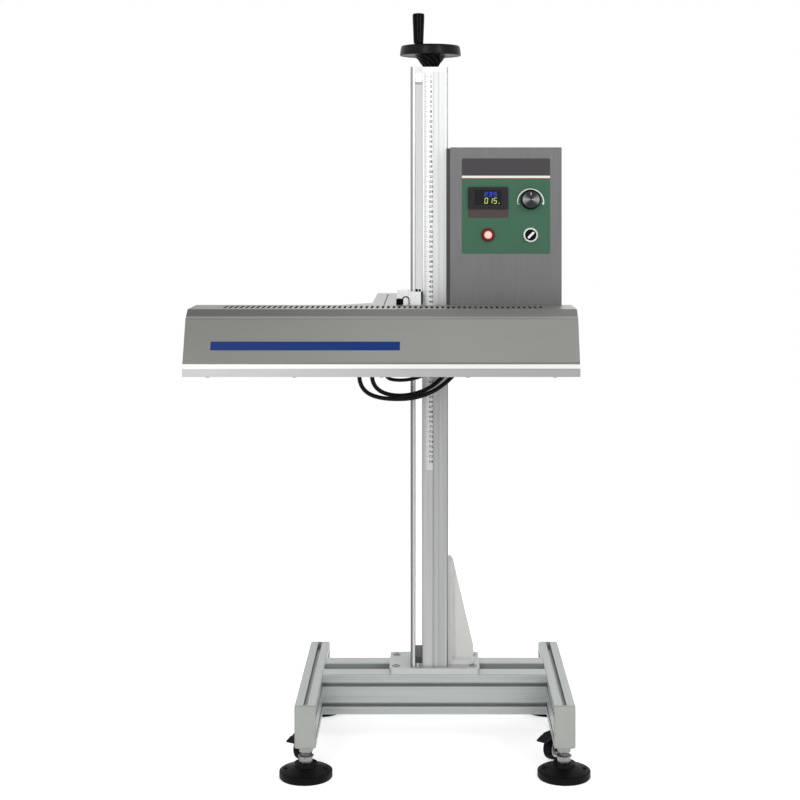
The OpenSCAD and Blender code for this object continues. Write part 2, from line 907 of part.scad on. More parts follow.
// Jaw beside the arm with a ledge under it, bolted to the front block
module arm_clamp() {
    jaw_right = column_left - 3;
    jaw_front = front_block_y - front_block_d;
    jaw_back = front_block_y + 40;
    ledge_t = 14;
    bolt_d = 6;
    color("#d7dadb") difference() {
        union() {
            block([arm_right, jaw_front, arm_z - ledge_t], [jaw_right, jaw_back, clamp_top]);
            block([arm_left, jaw_front, arm_z - ledge_t], [arm_right, jaw_back, arm_z]);
            block([jaw_right, jaw_front, arm_z - ledge_t],
                [front_block_x, front_block_y, head_top]);
        }
        translate([(arm_right + jaw_right) / 2, front_block_y, clamp_top - 9])
            cylinder(d = bolt_d, h = 10);
    }
}

// Capped square tube with a thin groove on top and a flange against the head
module reach_arm() {
    flange_drop = 70;
    groove_w = 2.6;
    groove_t = 2;
    flange_right = 20;
    start = head_back + arm_flange_t;
    color("#c4c8c9") {
        block([arm_left - arm_gusset_w, head_back, arm_top - flange_drop],
            [arm_right + flange_right, start, arm_top]);
        difference() {
            block([arm_left, start, arm_z], [arm_right, arm_back, arm_top]);
            block([arm_left + arm_wall, start - 1, arm_z + arm_wall],
                [arm_right - arm_wall, arm_back - arm_wall, arm_top - arm_wall]);
            block([head_x - groove_w / 2, start, arm_top - groove_t],
                [head_x + groove_w / 2, arm_back + 1, arm_top + 1]);
        }
    }
}

// Flat triangle in the corner between the arm and its flange
module arm_gusset() {
    tip = 7;
    start = head_back + arm_flange_t;
    color("#a3a6a4") translate([arm_left, start, arm_top - 2 - arm_gusset_t])
        linear_extrude(arm_gusset_t) polygon([
            [0, 0], [0, arm_gusset_l], [-tip, arm_gusset_l], [-arm_gusset_w, tip],
            [-arm_gusset_w, 0],
        ]);
}

// Plate under the control box with a rib that reaches to the front block
module box_shelf() {
    left = front_block_x + front_block_w;
    rib_t = 10;
    rib_back = front_block_y - 2;
    rib_h = 64;
    color("#b0b4b6") difference() {
        union() {
            block([left, box_y, shelf_z], [box_x + box_w, rib_back, box_z]);
            block([box_x, box_y, shelf_z], [box_x + box_w, box_y + box_d, box_z]);
            block([left, rib_back - rib_t, shelf_z - rib_h], [box_x + 90, rib_back, shelf_z]);
        }
        gland_holes();
    }
}

// Sealing head

// Folded hood with closed ends, a sloped front and a row of vent slots in its top
module head_hood() {
    left = head_x - head_len / 2;
    inner = inset(hood_profile, hood_t);
    flat_front = hood_front + front_slope + bevel_d;
    color("#8c8c87") difference() {
        translate([left, 0, 0]) along_x(head_len) polygon(hood_profile);
        translate([left + hood_t, 0, 0]) along_x(head_len - 2 * hood_t) polygon([
            [inner[0][0], hood_z - 1], [inner[1][0], hood_z - 1],
            inner[2], inner[3], inner[4], inner[0],
        ]);
        for (i = [0 : vent_count - 1])
            translate([head_x + (i - (vent_count - 1) / 2) * vent_pitch,
                (flat_front + head_back) / 2, head_top - hood_t - 1])
                linear_extrude(hood_t + 2) obround(vent_w, vent_len);
    }
}

// Aluminium tray with a rolled shoulder and a window for the coil board
module head_tray() {
    left = head_x - head_len / 2;
    inner = inset(tray_profile, tray_t);
    color("#c5c8c8") difference() {
        translate([left, 0, 0]) along_x(head_len) polygon(tray_profile);
        translate([left + tray_t, 0, 0]) along_x(head_len - 2 * tray_t) polygon([
            inner[0], inner[1], [inner[2][0], hood_z + 1], [inner[3][0], hood_z + 1],
            inner[3], inner[4],
        ]);
        translate([head_x, inner_y, head_z - 1]) linear_extrude(tray_t + 2)
            rounded_rect(head_len - 2 * window_margin, head_d - 2 * window_margin, 10);
        for (x = head_exit_x) translate([x, cable_y, head_z - 1])
            cylinder(d = cable_d + 2, h = tray_t + 2);
    }
}

module coil_board() {
    edge = tray_t + 0.5;
    color("#d9d2bf") block(
        [head_x - head_len / 2 + edge, head_front + edge, board_z],
        [head_x + head_len / 2 - edge, head_back - edge, coil_z]);
}

// Flat racetrack of litz wire
module coil_winding() {
    color("#b06a3a") translate([head_x, inner_y, coil_z]) rotate([0, 0, 90])
        linear_extrude(winding_h) difference() {
            obround(coil_d, coil_len);
            obround(coil_d - 2 * winding_w, coil_len - 2 * winding_w);
        }
}

// Bars across the straight runs of the coil
module ferrite_bars() {
    run = coil_len - coil_d;
    color("#3a3b3d")
        for (i = [0 : ferrite_count - 1])
            translate([head_x + ((i + 0.5) / ferrite_count - 0.5) * run, inner_y, ferrite_z])
                linear_extrude(ferrite_t) square([ferrite_w, ferrite_l], center = true);
}

// Control box

// Holes of the three glands through the shelf and the box's floor
module gland_holes() {
    for (at = box_exit) translate([at[0], at[1], shelf_z - 1])
        cylinder(d = gland_d - 5, h = shelf_t + box_t + 2);
}

// Openings of the meter, knob, lamp and switch through the panel and the box's front
module panel_openings() {
    depth = panel_t + box_t + 2;
    translate([0, 1, 0]) {
        on_panel(left_x, meter_z) translate([0, 0, -depth]) linear_extrude(depth + 2)
            square([meter_w - 4, meter_h - 4], center = true);
        on_panel(right_x, knob_z) translate([0, 0, -depth]) cylinder(d = 10, h = depth + 2);
        on_panel(left_x, lamp_z) translate([0, 0, -depth]) cylinder(d = lamp_d - 7, h = depth + 2);
        on_panel(right_x, lamp_z)
            translate([0, 0, -depth]) cylinder(d = switch_d - 8, h = depth + 2);
    }
}

// Folded shell, open at the back
module box_shell() {
    color("#76787a") difference() {
        block([box_x, box_y, box_z], [box_x + box_w, box_y + box_d, box_z + box_h]);
        block([box_x + box_t, box_y + box_t, box_z + box_t],
            [box_x + box_w - box_t, box_y + box_d + 1, box_z + box_h - box_t]);
        panel_openings();
        gland_holes();
    }
}

// Cover let into the back, with vent slots and the hole of the mains gland
module box_back_cover() {
    fit = 0.3;
    edge = box_t + fit;
    slots = 15;
    slot_pitch = 10;
    slot_len = 60;
    color("#7d8082") difference() {
        block([box_x + edge, box_y + box_d - box_t, box_z + edge],
            [box_x + box_w - edge, box_y + box_d, box_z + box_h - edge]);
        for (i = [0 : slots - 1])
            translate([panel_x + (i - (slots - 1) / 2) * slot_pitch, 0, box_z + box_h - 70])
                along_y(box_y + box_d + 1, box_t + 2) obround(5, slot_len);
        translate([mains_at[0], 0, mains_at[1]])
            along_y(box_y + box_d + 1, box_t + 2) circle(d = gland_d - 4);
    }
}

// Printed plate behind the controls
module control_panel() {
    color("#40684f") difference() {
        translate([panel_x, 0, panel_z - panel_h / 2])
            along_y(box_y, panel_t) rounded_rect(panel_w, panel_h, 3);
        panel_openings();
    }
}

// Bezel with a sunk screen, and the case behind the panel
module panel_meter() {
    bezel_t = 4;
    screen_w = 53;
    screen_h = 30;
    case_d = 60;
    color("#26282a") on_panel(left_x, meter_z) {
        difference() {
            linear_extrude(bezel_t) rounded_rect(meter_w, meter_h, 2);
            translate([0, 1, bezel_t - 1.5]) linear_extrude(3) square([screen_w, screen_h], center = true);
        }
        translate([0, 0, -case_d]) linear_extrude(case_d)
            square([meter_w - 5, meter_h - 5], center = true);
    }
}

// Bezel, domed lens and body of the lamp
module indicator_lamp() {
    lens_d = lamp_d - 8;
    body_d = lamp_d - 8;
    body_len = 30;
    color("#7a1f22") on_panel(left_x, lamp_z) {
        rotate_extrude() polygon([
            [0, 0], [lamp_d / 2, 0], [lamp_d / 2, 2], [lamp_d / 2 - 1.5, 3.5],
            [lens_d / 2, 3.5], [lens_d / 2 - 0.6, 6], [lens_d / 2 - 2.5, 8],
            [lens_d / 4, 9.3], [0, 9.8],
        ]);
        translate([0, 0, -body_len]) cylinder(d = body_d, h = body_len);
    }
}

// Chromed ring and contact body of the rotary switch
module switch_bezel() {
    ring_h = 5;
    body_len = 34;
    color("#d8dadc") on_panel(right_x, lamp_z) difference() {
        union() {
            rotate_extrude() polygon([
                [0, 0], [switch_d / 2, 0], [switch_d / 2, 2.5], [switch_d / 2 - 1.5, ring_h],
                [rotor_d / 2 + 0.3, ring_h], [rotor_d / 2 + 0.3, 1], [0, 1],
            ]);
            translate([0, 0, -body_len]) cylinder(d = switch_d - 9, h = body_len);
        }
        translate([0, 0, -20]) cylinder(d = rotor_shaft_d + 2 * play, h = 24);
    }
}

// Rotor with its finger bar, standing at 45 degrees
module switch_rotor() {
    lift = 0.3;
    bar_w = 7;
    rest = -45;
    color("#18191b") on_panel(right_x, lamp_z) rotate([0, 0, rest]) {
        translate([0, 0, 1 + lift]) cylinder(d = rotor_d, h = 5);
        translate([0, 0, 6]) linear_extrude(9) obround(bar_w, rotor_d - 1);
        translate([0, 0, -18]) cylinder(d = rotor_shaft_d, h = 20);
    }
}

// Turned knob with a sunk face and a pointer notch, on its shaft
module power_knob() {
    lift = 0.5;
    notch = 2;
    color("#8f9294") on_panel(right_x, knob_z) {
        difference() {
            translate([0, 0, lift]) rotate_extrude() polygon([
                [0, 0], [knob_d / 2, 0], [knob_d / 2, 3], [knob_d / 2 - 2, knob_h - 1],
                [knob_d / 2 - 3, knob_h], [knob_d / 2 - 5, knob_h],
                [knob_d / 2 - 5.5, knob_h - 0.8], [0, knob_h - 0.8],
            ]);
            translate([-notch / 2, knob_d / 2 - 8, knob_h - 1]) cube([notch, 10, 5]);
        }
        translate([0, 0, -14]) cylinder(d = knob_shaft_d, h = 18);
    }
}

// Finned power stage on the box's floor, and the potentiometer behind the knob
module power_module() {
    stage_w = box_w - 60;
    stage_d = box_d - 60;
    foot_t = 10;
    fin_t = 3;
    fins = 12;
    fin_h = 70;
    pot_d = 24;
    pot_len = 18;
    color("#9a9da0") {
        translate([panel_x, box_y + box_d / 2 + 10, box_z + box_t]) {
            translate([-stage_w / 2, -stage_d / 2, 0]) cube([stage_w, stage_d, foot_t]);
            for (i = [0 : fins - 1])
                translate([-stage_w / 2 + i * (stage_w - fin_t) / (fins - 1), -stage_d / 2, 0])
                    cube([fin_t, stage_d, foot_t + fin_h]);
        }
        on_panel(right_x, knob_z) translate([0, 0, -panel_t - box_t]) difference() {
            union() {
                translate([0, 0, -pot_len]) cylinder(d = pot_d, h = pot_len);
                cylinder(d = 9.4, h = panel_t + box_t);
            }
            translate([0, 0, -pot_len + 2])
                cylinder(d = knob_shaft_d + 2 * play, h = pot_len + panel_t + box_t);
        }
    }
}

// Cables

// Glands under the box, grommets under the head and the empty mains gland at the back
module cable_glands() {
    neck_d = gland_d - 6;
    neck_h = shelf_t + box_t + 4;
    mains_bore = 9;
    color("#202124") {
        for (at = box_exit) translate([at[0], at[1], shelf_z - gland_h]) {
            rotate_extrude() polygon([
                [0, 0], [gland_d / 2 - 3, 0], [gland_d / 2 - 1, 6], [gland_d / 2 - 1, 8],
                [gland_d / 2, 8], [gland_d / 2, gland_h], [0, gland_h],
            ]);
            cylinder(d = neck_d, h = gland_h + neck_h);
        }
        for (x = head_exit_x) translate([x, cable_y, head_z - grommet_h]) {
            cylinder(d = cable_d + 6, h = grommet_h);
            cylinder(d = cable_d + 1.6, h = grommet_h + tray_t);
        }
        translate([mains_at[0], box_y + box_d, mains_at[1]]) rotate([-90, 0, 0]) difference() {
            union() {
                rotate_extrude() polygon([
                    [0, 0], [gland_d / 2 + 1, 0], [gland_d / 2 + 1, 7], [gland_d / 2 - 1, 8],
                    [gland_d / 2 - 1, 14], [gland_d / 2 - 3, 20], [0, 20],
                ]);
                translate([0, 0, -8]) cylinder(d = gland_d - 4.6, h = 8);
            }
            translate([0, 0, -9]) cylinder(d = mains_bore, h = 30);
        }
    }
}

// Direction of a route at one of its points
function heading(p, i) = unit(p[min(i + 1, len(p) - 1)] - p[max(i - 1, 0)]);

// Ring of points round a route's point
function ring(p, i, r, sides) =
    let (
        t = heading(p, i),
        u = unit(cross(t, [0, 1, 0])),
        v = cross(t, u)
    )
    [for (k = [0 : sides - 1]) p[i] + r * (cos(360 * k / sides) * u + sin(360 * k / sides) * v)];

// Round tube swept along a route
module tube(p, d) {
    sides = 10;
    last = len(p) - 1;
    polyhedron(
        points = [for (i = [0 : last]) each ring(p, i, d / 2, sides)],
        faces = [
            [for (k = [0 : sides - 1]) k],
            for (i = [0 : last - 1], k = [0 : sides - 1]) [
                i * sides + k, (i + 1) * sides + k,
                (i + 1) * sides + (k + 1) % sides, i * sides + (k + 1) % sides,
            ],
            [for (k = [sides - 1 : -1 : 0]) last * sides + k],
        ]);
}

module coil_cable_long() {
    color("#17181a") tube(route_long, cable_d);
}

module coil_cable_middle() {
    color("#17181a") tube(route_middle, cable_d);
}

module sensor_cable() {
    color("#17181a") tube(route_short, sensor_d);
}

// Moves the model from the screw axis to the middle of its outer box
module placed() {
    translate(frame_shift) children();
}

placed() leg_left();
placed() leg_right();
placed() leg_end_caps();
placed() cross_beam_front();
placed() cross_beam_rear();
placed() base_plate();
placed() column_side_plate();
placed() column_profile();
placed() column_foot_block();
placed() column_head_block();
placed() column_gusset();
placed() scale_rule();
placed() screw_bearings();
placed() caster_plates();
placed() foot_lock_nuts();
placed() foot_pad_front_left();
placed() foot_pad_front_right();
placed() foot_pad_rear_left();
placed() foot_pad_rear_right();
placed() foot_stem_front_left();
placed() foot_stem_front_right();
placed() foot_stem_rear_left();
placed() foot_stem_rear_right();
placed() caster_fork_front_left();
placed() caster_fork_front_right();
placed() caster_fork_rear_left();
placed() caster_fork_rear_right();
placed() caster_wheel_front_left();
placed() caster_wheel_front_right();
placed() caster_wheel_rear_left();
placed() caster_wheel_rear_right();
placed() caster_brake_left();
placed() caster_brake_right();
placed() lead_screw();
placed() handwheel();
placed() handwheel_grip();
placed() carriage_block();
placed() lead_nut();
placed() arm_clamp();
placed() reach_arm();
placed() arm_gusset();
placed() head_hood();
placed() head_tray();
placed() coil_board();
placed() coil_winding();
placed() ferrite_bars();
placed() box_shelf();
placed() box_shell();
placed() box_back_cover();
placed() control_panel();
placed() panel_meter();
placed() indicator_lamp();
placed() switch_bezel();
placed() switch_rotor();
placed() power_knob();
placed() power_module();
placed() cable_glands();
placed() coil_cable_long();
placed() coil_cable_middle();
placed() sensor_cable();
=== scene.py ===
import json
import math

import bmesh
import bpy
import numpy as np
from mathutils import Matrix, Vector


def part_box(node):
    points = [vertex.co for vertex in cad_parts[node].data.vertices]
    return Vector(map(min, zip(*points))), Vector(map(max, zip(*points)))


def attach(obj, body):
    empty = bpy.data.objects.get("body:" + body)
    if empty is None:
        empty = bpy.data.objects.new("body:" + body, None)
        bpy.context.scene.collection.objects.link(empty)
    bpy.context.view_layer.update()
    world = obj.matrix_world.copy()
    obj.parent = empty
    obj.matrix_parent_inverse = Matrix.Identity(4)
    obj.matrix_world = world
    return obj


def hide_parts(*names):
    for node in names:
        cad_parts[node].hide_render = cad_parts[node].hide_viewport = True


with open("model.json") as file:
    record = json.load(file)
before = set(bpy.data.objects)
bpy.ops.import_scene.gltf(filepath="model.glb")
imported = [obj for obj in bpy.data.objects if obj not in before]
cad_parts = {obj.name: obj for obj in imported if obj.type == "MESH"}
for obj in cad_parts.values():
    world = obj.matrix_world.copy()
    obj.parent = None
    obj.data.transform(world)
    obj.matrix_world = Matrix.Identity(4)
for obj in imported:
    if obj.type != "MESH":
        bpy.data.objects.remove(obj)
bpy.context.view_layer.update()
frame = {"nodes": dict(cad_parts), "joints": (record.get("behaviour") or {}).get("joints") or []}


# Studio: a pale floor that fades into a white backdrop, soft lamps, and a level camera in front of
# the machine whose lens is shifted down, as in a product photograph.

class Value:
    """A shader socket that takes part in Python sums; each operator adds one Math node."""

    def __init__(self, shading, socket):
        self.shading = shading
        self.socket = socket

    def math(self, operation, *others):
        return self.shading.node("ShaderNodeMath", {"operation": operation}, [self, *others])

    def out(self, name):
        return Value(self.shading, self.socket.node.outputs[name])

    def __add__(self, other):
        return self.math("ADD", other)

    def __radd__(self, other):
        return self + other

    def __sub__(self, other):
        return self.math("SUBTRACT", other)

    def __rsub__(self, other):
        return self * -1 + other

    def __mul__(self, other):
        return self.math("MULTIPLY", other)

    def __rmul__(self, other):
        return self * other

    def __mod__(self, other):
        return self.math("FLOORED_MODULO", other)

    def __gt__(self, other):
        return self.math("GREATER_THAN", other)

    def __lt__(self, other):
        return self.math("LESS_THAN", other)

    def between(self, low, high):
        return (self > low) * (self < high)


class Shading:
    """A node tree with one way to add a node: its type, its settings and its sockets."""

    def __init__(self, tree):
        self.tree = tree
        tree.nodes.clear()

    def node(self, kind, settings=None, sockets=None, out=0):
        made = self.tree.nodes.new(kind)
        for key, value in (settings or {}).items():
            setattr(made, key, value)
        sockets = sockets or {}
        for key, value in sockets.items() if isinstance(sockets, dict) else enumerate(sockets):
            if isinstance(value, Value):
                self.tree.links.new(value.socket, made.inputs[key])
            else:
                made.inputs[key].default_value = value
        return Value(self, made.outputs[out] if made.outputs else None)

    def blend(self, factor, one, other):
        """Colour between one and other."""
        sockets = {0: factor, 6: one, 7: other}
        return self.node("ShaderNodeMix", {"data_type": "RGBA"}, sockets, out=2)

    def ramp(self, value, low, high):
        """Rises smoothly from 0 at low to 1 at high."""
        return self.node("ShaderNodeMapRange", {"interpolation_type": "SMOOTHSTEP"},
                         [value, low, high, 0.0, 1.0])


class Finish(Shading):
    """A material on a Principled shader: constants on its own sockets, feed() links what varies."""

    SOCKETS = {"colour": "Base Color", "roughness": "Roughness", "metallic": "Metallic",
               "normal": "Normal", "glow": "Emission Color"}

    def __init__(self, name, colour, roughness, metallic=0.0, constants=None):
        self.material = bpy.data.materials.new(name)
        self.material.use_nodes = True
        super().__init__(self.material.node_tree)
        self.colour = colour
        self.shader = self.node("ShaderNodeBsdfPrincipled", sockets={
            "Base Color": colour, "Roughness": roughness, "Metallic": metallic, **(constants or {})})
        self.node("ShaderNodeOutputMaterial", sockets={"Surface": self.shader})
        self.place = self.node("ShaderNodeTexCoord", out="Object")

    def axes(self):
        """The x, y and z of a point of the piece, in metres."""
        parts = self.node("ShaderNodeSeparateXYZ", sockets=[self.place])
        return parts.out("X"), parts.out("Y"), parts.out("Z")

    def noise(self, size, detail=2.0, stretch=(1, 1, 1)):
        """Noise from 0 to 1 in spots of about size metres, drawn out along an axis by stretch."""
        scale = [1 / (size * pull) for pull in stretch]
        spots = self.node("ShaderNodeMapping", sockets={"Vector": self.place, "Scale": scale})
        return self.node("ShaderNodeTexNoise", sockets={"Vector": spots, "Scale": 1.0, "Detail": detail})

    def bump(self, height, depth):
        return self.node("ShaderNodeBump", sockets={"Height": height, "Distance": depth})

    def vary(self, value, low, high):
        """The finish's own colour, times low where the value is 0 and times high where it is 1."""
        shades = [(*[min(1.0, part * factor) for part in self.colour[:3]], 1.0) for factor in (low, high)]
        return self.blend(value, *shades)

    def feed(self, **links):
        for name, value in links.items():
            self.tree.links.new(value.socket, self.shader.socket.node.inputs[self.SOCKETS[name]])


scene = bpy.context.scene


def placed(name, data):
    """A new object in the scene."""
    made = bpy.data.objects.new(name, data)
    scene.collection.objects.link(made)
    return made


def tone(red, green, blue):
    """Linear colour of an 8-bit screen colour: the screen curve undone."""
    screen = np.array([red, green, blue]) / 255
    linear = np.where(screen <= 0.04045, screen / 12.92, ((screen + 0.055) / 1.055) ** 2.4)
    return (*linear.tolist(), 1.0)


white = (1, 1, 1, 1)
black = (0, 0, 0, 1)
floor_radius = 4.0
floor_sides = 64
fade_start = 0.8
fade_end = 2.6
floor_finish = Finish("pale_floor", tone(250, 250, 249), 0.9, 0.0, {"Emission Strength": 0.52})
floor_rays = floor_finish.node("ShaderNodeLightPath")
floor_seen = (floor_rays.out("Is Camera Ray") + floor_rays.out("Is Glossy Ray")
              + floor_rays.out("Is Transmission Ray"))
floor_finish.feed(glow=floor_finish.blend(floor_seen, black, white))
floor_x, floor_y, _ = floor_finish.axes()
floor_span = (floor_x * floor_x + floor_y * floor_y).math("SQRT")
fade = floor_finish.ramp(floor_span, fade_start, fade_end)
clear = floor_finish.node("ShaderNodeBsdfTransparent")
floor_mix = floor_finish.node("ShaderNodeMixShader", sockets=[fade, floor_finish.shader, clear])
floor_output = floor_finish.tree.get_output_node("ALL")
floor_finish.tree.links.new(floor_mix.socket, floor_output.inputs["Surface"])
floor_mesh = bpy.data.meshes.new("studio_floor")
floor_turn = np.linspace(0, 2 * math.pi, floor_sides, endpoint=False)
floor_rim = np.stack([np.cos(floor_turn), np.sin(floor_turn), 0 * floor_turn], axis=1) * floor_radius
floor_mesh.from_pydata(floor_rim.tolist(), [], [list(range(floor_sides))])
floor_mesh.materials.append(floor_finish.material)
floor = placed("studio_floor", floor_mesh)

world = bpy.data.worlds.new("studio")
scene.world = world
world.use_nodes = True
sky = Shading(world.node_tree)
aim = sky.node("ShaderNodeTexCoord", out="Generated")
aim_z = sky.node("ShaderNodeSeparateXYZ", sockets=[aim]).out("Z")
mirrored = sky.blend(sky.ramp(aim_z, 0.45, 0.95), white, (0.42, 0.42, 0.43, 1))
rays = sky.node("ShaderNodeLightPath")
ambient = sky.blend(rays.out("Is Glossy Ray"), (0.62, 0.62, 0.63, 1), mirrored)
sky_colour = sky.blend(rays.out("Is Camera Ray") + rays.out("Is Transmission Ray"), ambient, white)
backdrop = sky.node("ShaderNodeBackground", sockets={"Color": sky_colour, "Strength": 1.0})
sky.node("ShaderNodeOutputWorld", sockets={"Surface": backdrop})

lamp_aim = np.array([0.0, 0.0, 0.75])
lamps = [("left_strip", (-1.0, -3.1, 2.2), (0.3, 1.9), 24),
         ("right_strip", (2.0, -2.7, 2.0), (0.3, 1.9), 27),
         ("rim", (0.6, 2.6, 2.2), (2.4, 2.0), 9)]
for lamp_name, lamp_at, lamp_size, lamp_watts in lamps:
    light = bpy.data.lights.new(lamp_name, "AREA")
    light.shape = "RECTANGLE"
    light.size, light.size_y = lamp_size
    light.energy = lamp_watts
    lamp = placed(lamp_name, light)
    lamp.location = lamp_at
    away = np.array(lamp_at) - lamp_aim
    lamp.rotation_euler = (math.atan2(math.hypot(away[0], away[1]), away[2]), 0,
                           math.atan2(away[1], away[0]) + math.pi / 2)

focal_px = 1625.0
image_px = 800.0
horizon_px = (427.7, 193.6)
camera_data = bpy.data.cameras.new("front_camera")
camera_data.sensor_width = 36.0
camera_data.lens = focal_px / image_px * camera_data.sensor_width
camera_data.shift_x = 0.5 - horizon_px[0] / image_px
camera_data.shift_y = horizon_px[1] / image_px - 0.5
camera = placed("front_camera", camera_data)
camera.location = (0.0749, -3.312, 1.0986)
camera.rotation_euler = (math.pi / 2, 0, 0)
scene.camera = camera
scene.view_settings.view_transform = "Standard"


# Legs and cross beams: extruded T-slot aluminium, natural anodised. They are sawn to length and
# screwed end to side, so the die lines run along each bar.

def dress(finish, *nodes):
    """Gives CAD nodes a finish."""
    for node in nodes:
        frame["nodes"][node].material_slots[0].material = finish.material


def drawn_metal(name, colour, roughness, along, line=0.0006, swing=0.10, metallic=0.85):
    """Metal with fine lines along one axis: stretched noise shifts colour, gloss and relief."""
    metal = Finish(name, colour, roughness, metallic)
    lines = metal.noise(line, 3.0, [120 if axis == along else 1 for axis in "xyz"])
    clouds = metal.noise(0.09, 3.0)
    mixture = metal.ramp(lines, 0.3, 0.7) * 0.7 + clouds * 0.3
    metal.feed(
        colour=metal.vary(mixture, 0.88, 1.08),
        roughness=roughness + (lines - 0.5) * swing + (clouds - 0.5) * 0.10,
        normal=metal.bump(lines, 3e-6))
    return metal


profile_colour = tone(174, 179, 177)
dress(drawn_metal("leg_anodising", profile_colour, 0.42, "y", 0.003, metallic=0.5), "leg_left", "leg_right")
dress(drawn_metal("beam_anodising", profile_colour, 0.40, "x", 0.003, metallic=0.5),
      "cross_beam_front", "cross_beam_rear")


# End caps: grey moulded nylon plugs pressed into the open ends of the legs, with a fine sparked
# texture from the mould.

def moulded(name, colour, roughness, constants=None, grain=0.0007, depth=1.5e-5):
    """Moulded plastic: fine noise for the sparked skin, broad noise for handling marks."""
    plastic = Finish(name, colour, roughness, 0.0, constants)
    skin = plastic.noise(grain, 2.0)
    wear = plastic.noise(0.03, 4.0)
    plastic.feed(
        colour=plastic.vary(skin * 0.4 + wear * 0.6, 0.86, 1.12),
        roughness=roughness + (wear - 0.5) * 0.2 + (skin - 0.5) * 0.08,
        normal=plastic.bump(skin, depth))
    return plastic


dress(moulded("cap_nylon", tone(168, 172, 165), 0.55), "leg_end_caps")


# Base plate: milled aluminium plate, bead blasted, that ties the beams to the column. Four low
# socket screws hold it, zinc plated, each with a hexagon socket.

def grid_faces(rows, columns):
    """Quads between neighbours of a rows by columns grid whose last column joins the first."""
    row = np.arange(rows - 1)[:, None] * columns
    column = np.arange(columns)[None, :]
    beside = (column + 1) % columns
    quads = [row + column, row + beside, row + columns + beside, row + columns + column]
    return np.stack(quads, axis=-1).reshape(-1, 4)


def circle(columns):
    """Angles evenly round a turn."""
    return np.linspace(0, 2 * math.pi, columns, endpoint=False)


def hexagon_radius(angle, across):
    """Distance from the axis to the side of a hexagon of that width across its flats."""
    sixth = math.pi / 3
    return across / 2 / np.cos((angle + sixth / 2) % sixth - sixth / 2)


def turned(radii, heights, columns=48):
    """Surface of revolution: ring i has radius radii[i], a number or one per column, at heights[i]."""
    angle = circle(columns)
    radius = np.stack([np.broadcast_to(r, angle.shape) for r in radii])
    height = np.stack([np.broadcast_to(h, angle.shape) for h in heights])
    points = np.stack([radius * np.cos(angle), radius * np.sin(angle), height], axis=-1)
    return points.reshape(-1, 3), grid_faces(len(radii), columns)


def moved(shape, place):
    """The shape shifted by a place."""
    return shape[0] + np.asarray(place), shape[1]


def joined(*shapes):
    """One shape of several: the points stacked and each one's faces counted on."""
    start = np.cumsum([0] + [len(points) for points, _ in shapes[:-1]])
    points = np.concatenate([points for points, _ in shapes])
    return points, np.concatenate([faces + first for (_, faces), first in zip(shapes, start)])


def repeated(shape, places):
    """Copies of a shape, each moved to one of the places."""
    return joined(*[moved(shape, place) for place in places])


def aimed(shape, normal):
    """The shape with its +Z turned to a normal."""
    points, faces = shape
    normal = np.array(normal, float) / np.linalg.norm(normal)
    side = np.cross((0.0, 1.0, 0.0) if abs(normal[1]) < 0.9 else (1.0, 0.0, 0.0), normal)
    side /= np.linalg.norm(side)
    return points @ np.stack([side, np.cross(normal, side), normal]), faces


def add_piece(name, shape, finishes, body, sharp=35.0, kinds=None):
    """A piece from points and faces: doubles merged, faces outwards, edges over sharp degrees kept."""
    points, faces = shape
    mesh = bpy.data.meshes.new(name)
    mesh.from_pydata(points.tolist(), [], faces.tolist())
    for finish in finishes:
        mesh.materials.append(finish.material)
    if kinds is not None:
        mesh.polygons.foreach_set("material_index", np.asarray(kinds, np.int32))
    work = bmesh.new()
    work.from_mesh(mesh)
    bmesh.ops.remove_doubles(work, verts=work.verts, dist=2e-6)
    bmesh.ops.recalc_face_normals(work, faces=work.faces)
    work.to_mesh(mesh)
    work.free()
    mesh.shade_smooth()
    mesh.set_sharp_from_angle(angle=math.radians(sharp))
    piece = placed(name, mesh)
    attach(piece, body)
    return piece


def socket_screw(head_d, head_h, socket, knurls=0, knurl=0.0):
    """Socket head: side with knurls round it, rounded shoulder, hexagon socket sunk into the top."""
    angle = circle(96)
    r = head_d / 2
    round_r = head_h * 0.14
    bend = np.linspace(0, math.pi / 2, 5)
    side = r - knurl * (0.5 + 0.5 * np.cos(angle * knurls))
    opening = hexagon_radius(angle, socket)
    radii = [0, side, side, *(r - round_r + round_r * np.cos(bend)),
             opening * 1.08, opening, opening, 0]
    heights = [0, 0, head_h * 0.8, *(head_h - round_r + round_r * np.sin(bend)),
               head_h, head_h - round_r * 0.4, head_h * 0.45, head_h * 0.38]
    return turned(radii, heights, 96)


def upright_axis(node):
    """Middle of a node's box as seen from above, at the height of the floor."""
    low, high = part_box(node)
    return np.array([(low.x + high.x) / 2, (low.y + high.y) / 2, 0.0])


def blasted(name, colour, roughness, metallic, depth):
    """Blasted or cast metal: fine pits in the skin, broad smears in colour and gloss."""
    metal = Finish(name, colour, roughness, metallic)
    smears = metal.noise(0.05, 4.0)
    metal.feed(colour=metal.vary(smears, 0.92, 1.05),
               roughness=roughness + (smears - 0.5) * 0.18,
               normal=metal.bump(metal.noise(0.0008, 2.0), depth))
    return metal


dress(blasted("plate_blasted", tone(190, 194, 193), 0.5, 0.4, 1.2e-5), "base_plate")
plate_low, plate_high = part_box("base_plate")
bolt_inset = 0.013
bolt_places = [(x, upright_axis(beam)[1], plate_high.z)
               for x in (plate_low.x + bolt_inset, plate_high.x - bolt_inset)
               for beam in ("cross_beam_front", "cross_beam_rear")]
plating = Finish("screw_zinc", tone(150, 151, 148), 0.34, 0.9)
spangle = plating.noise(0.004, 3.0)
plating.feed(colour=plating.vary(spangle, 0.82, 1.1), roughness=0.34 + (spangle - 0.5) * 0.25,
             normal=plating.bump(plating.noise(0.0005, 2.0), 4e-6))
add_piece("base_bolts", repeated(socket_screw(head_d=0.0150, head_h=0.0020, socket=0.006), bolt_places),
          [plating], "stand")


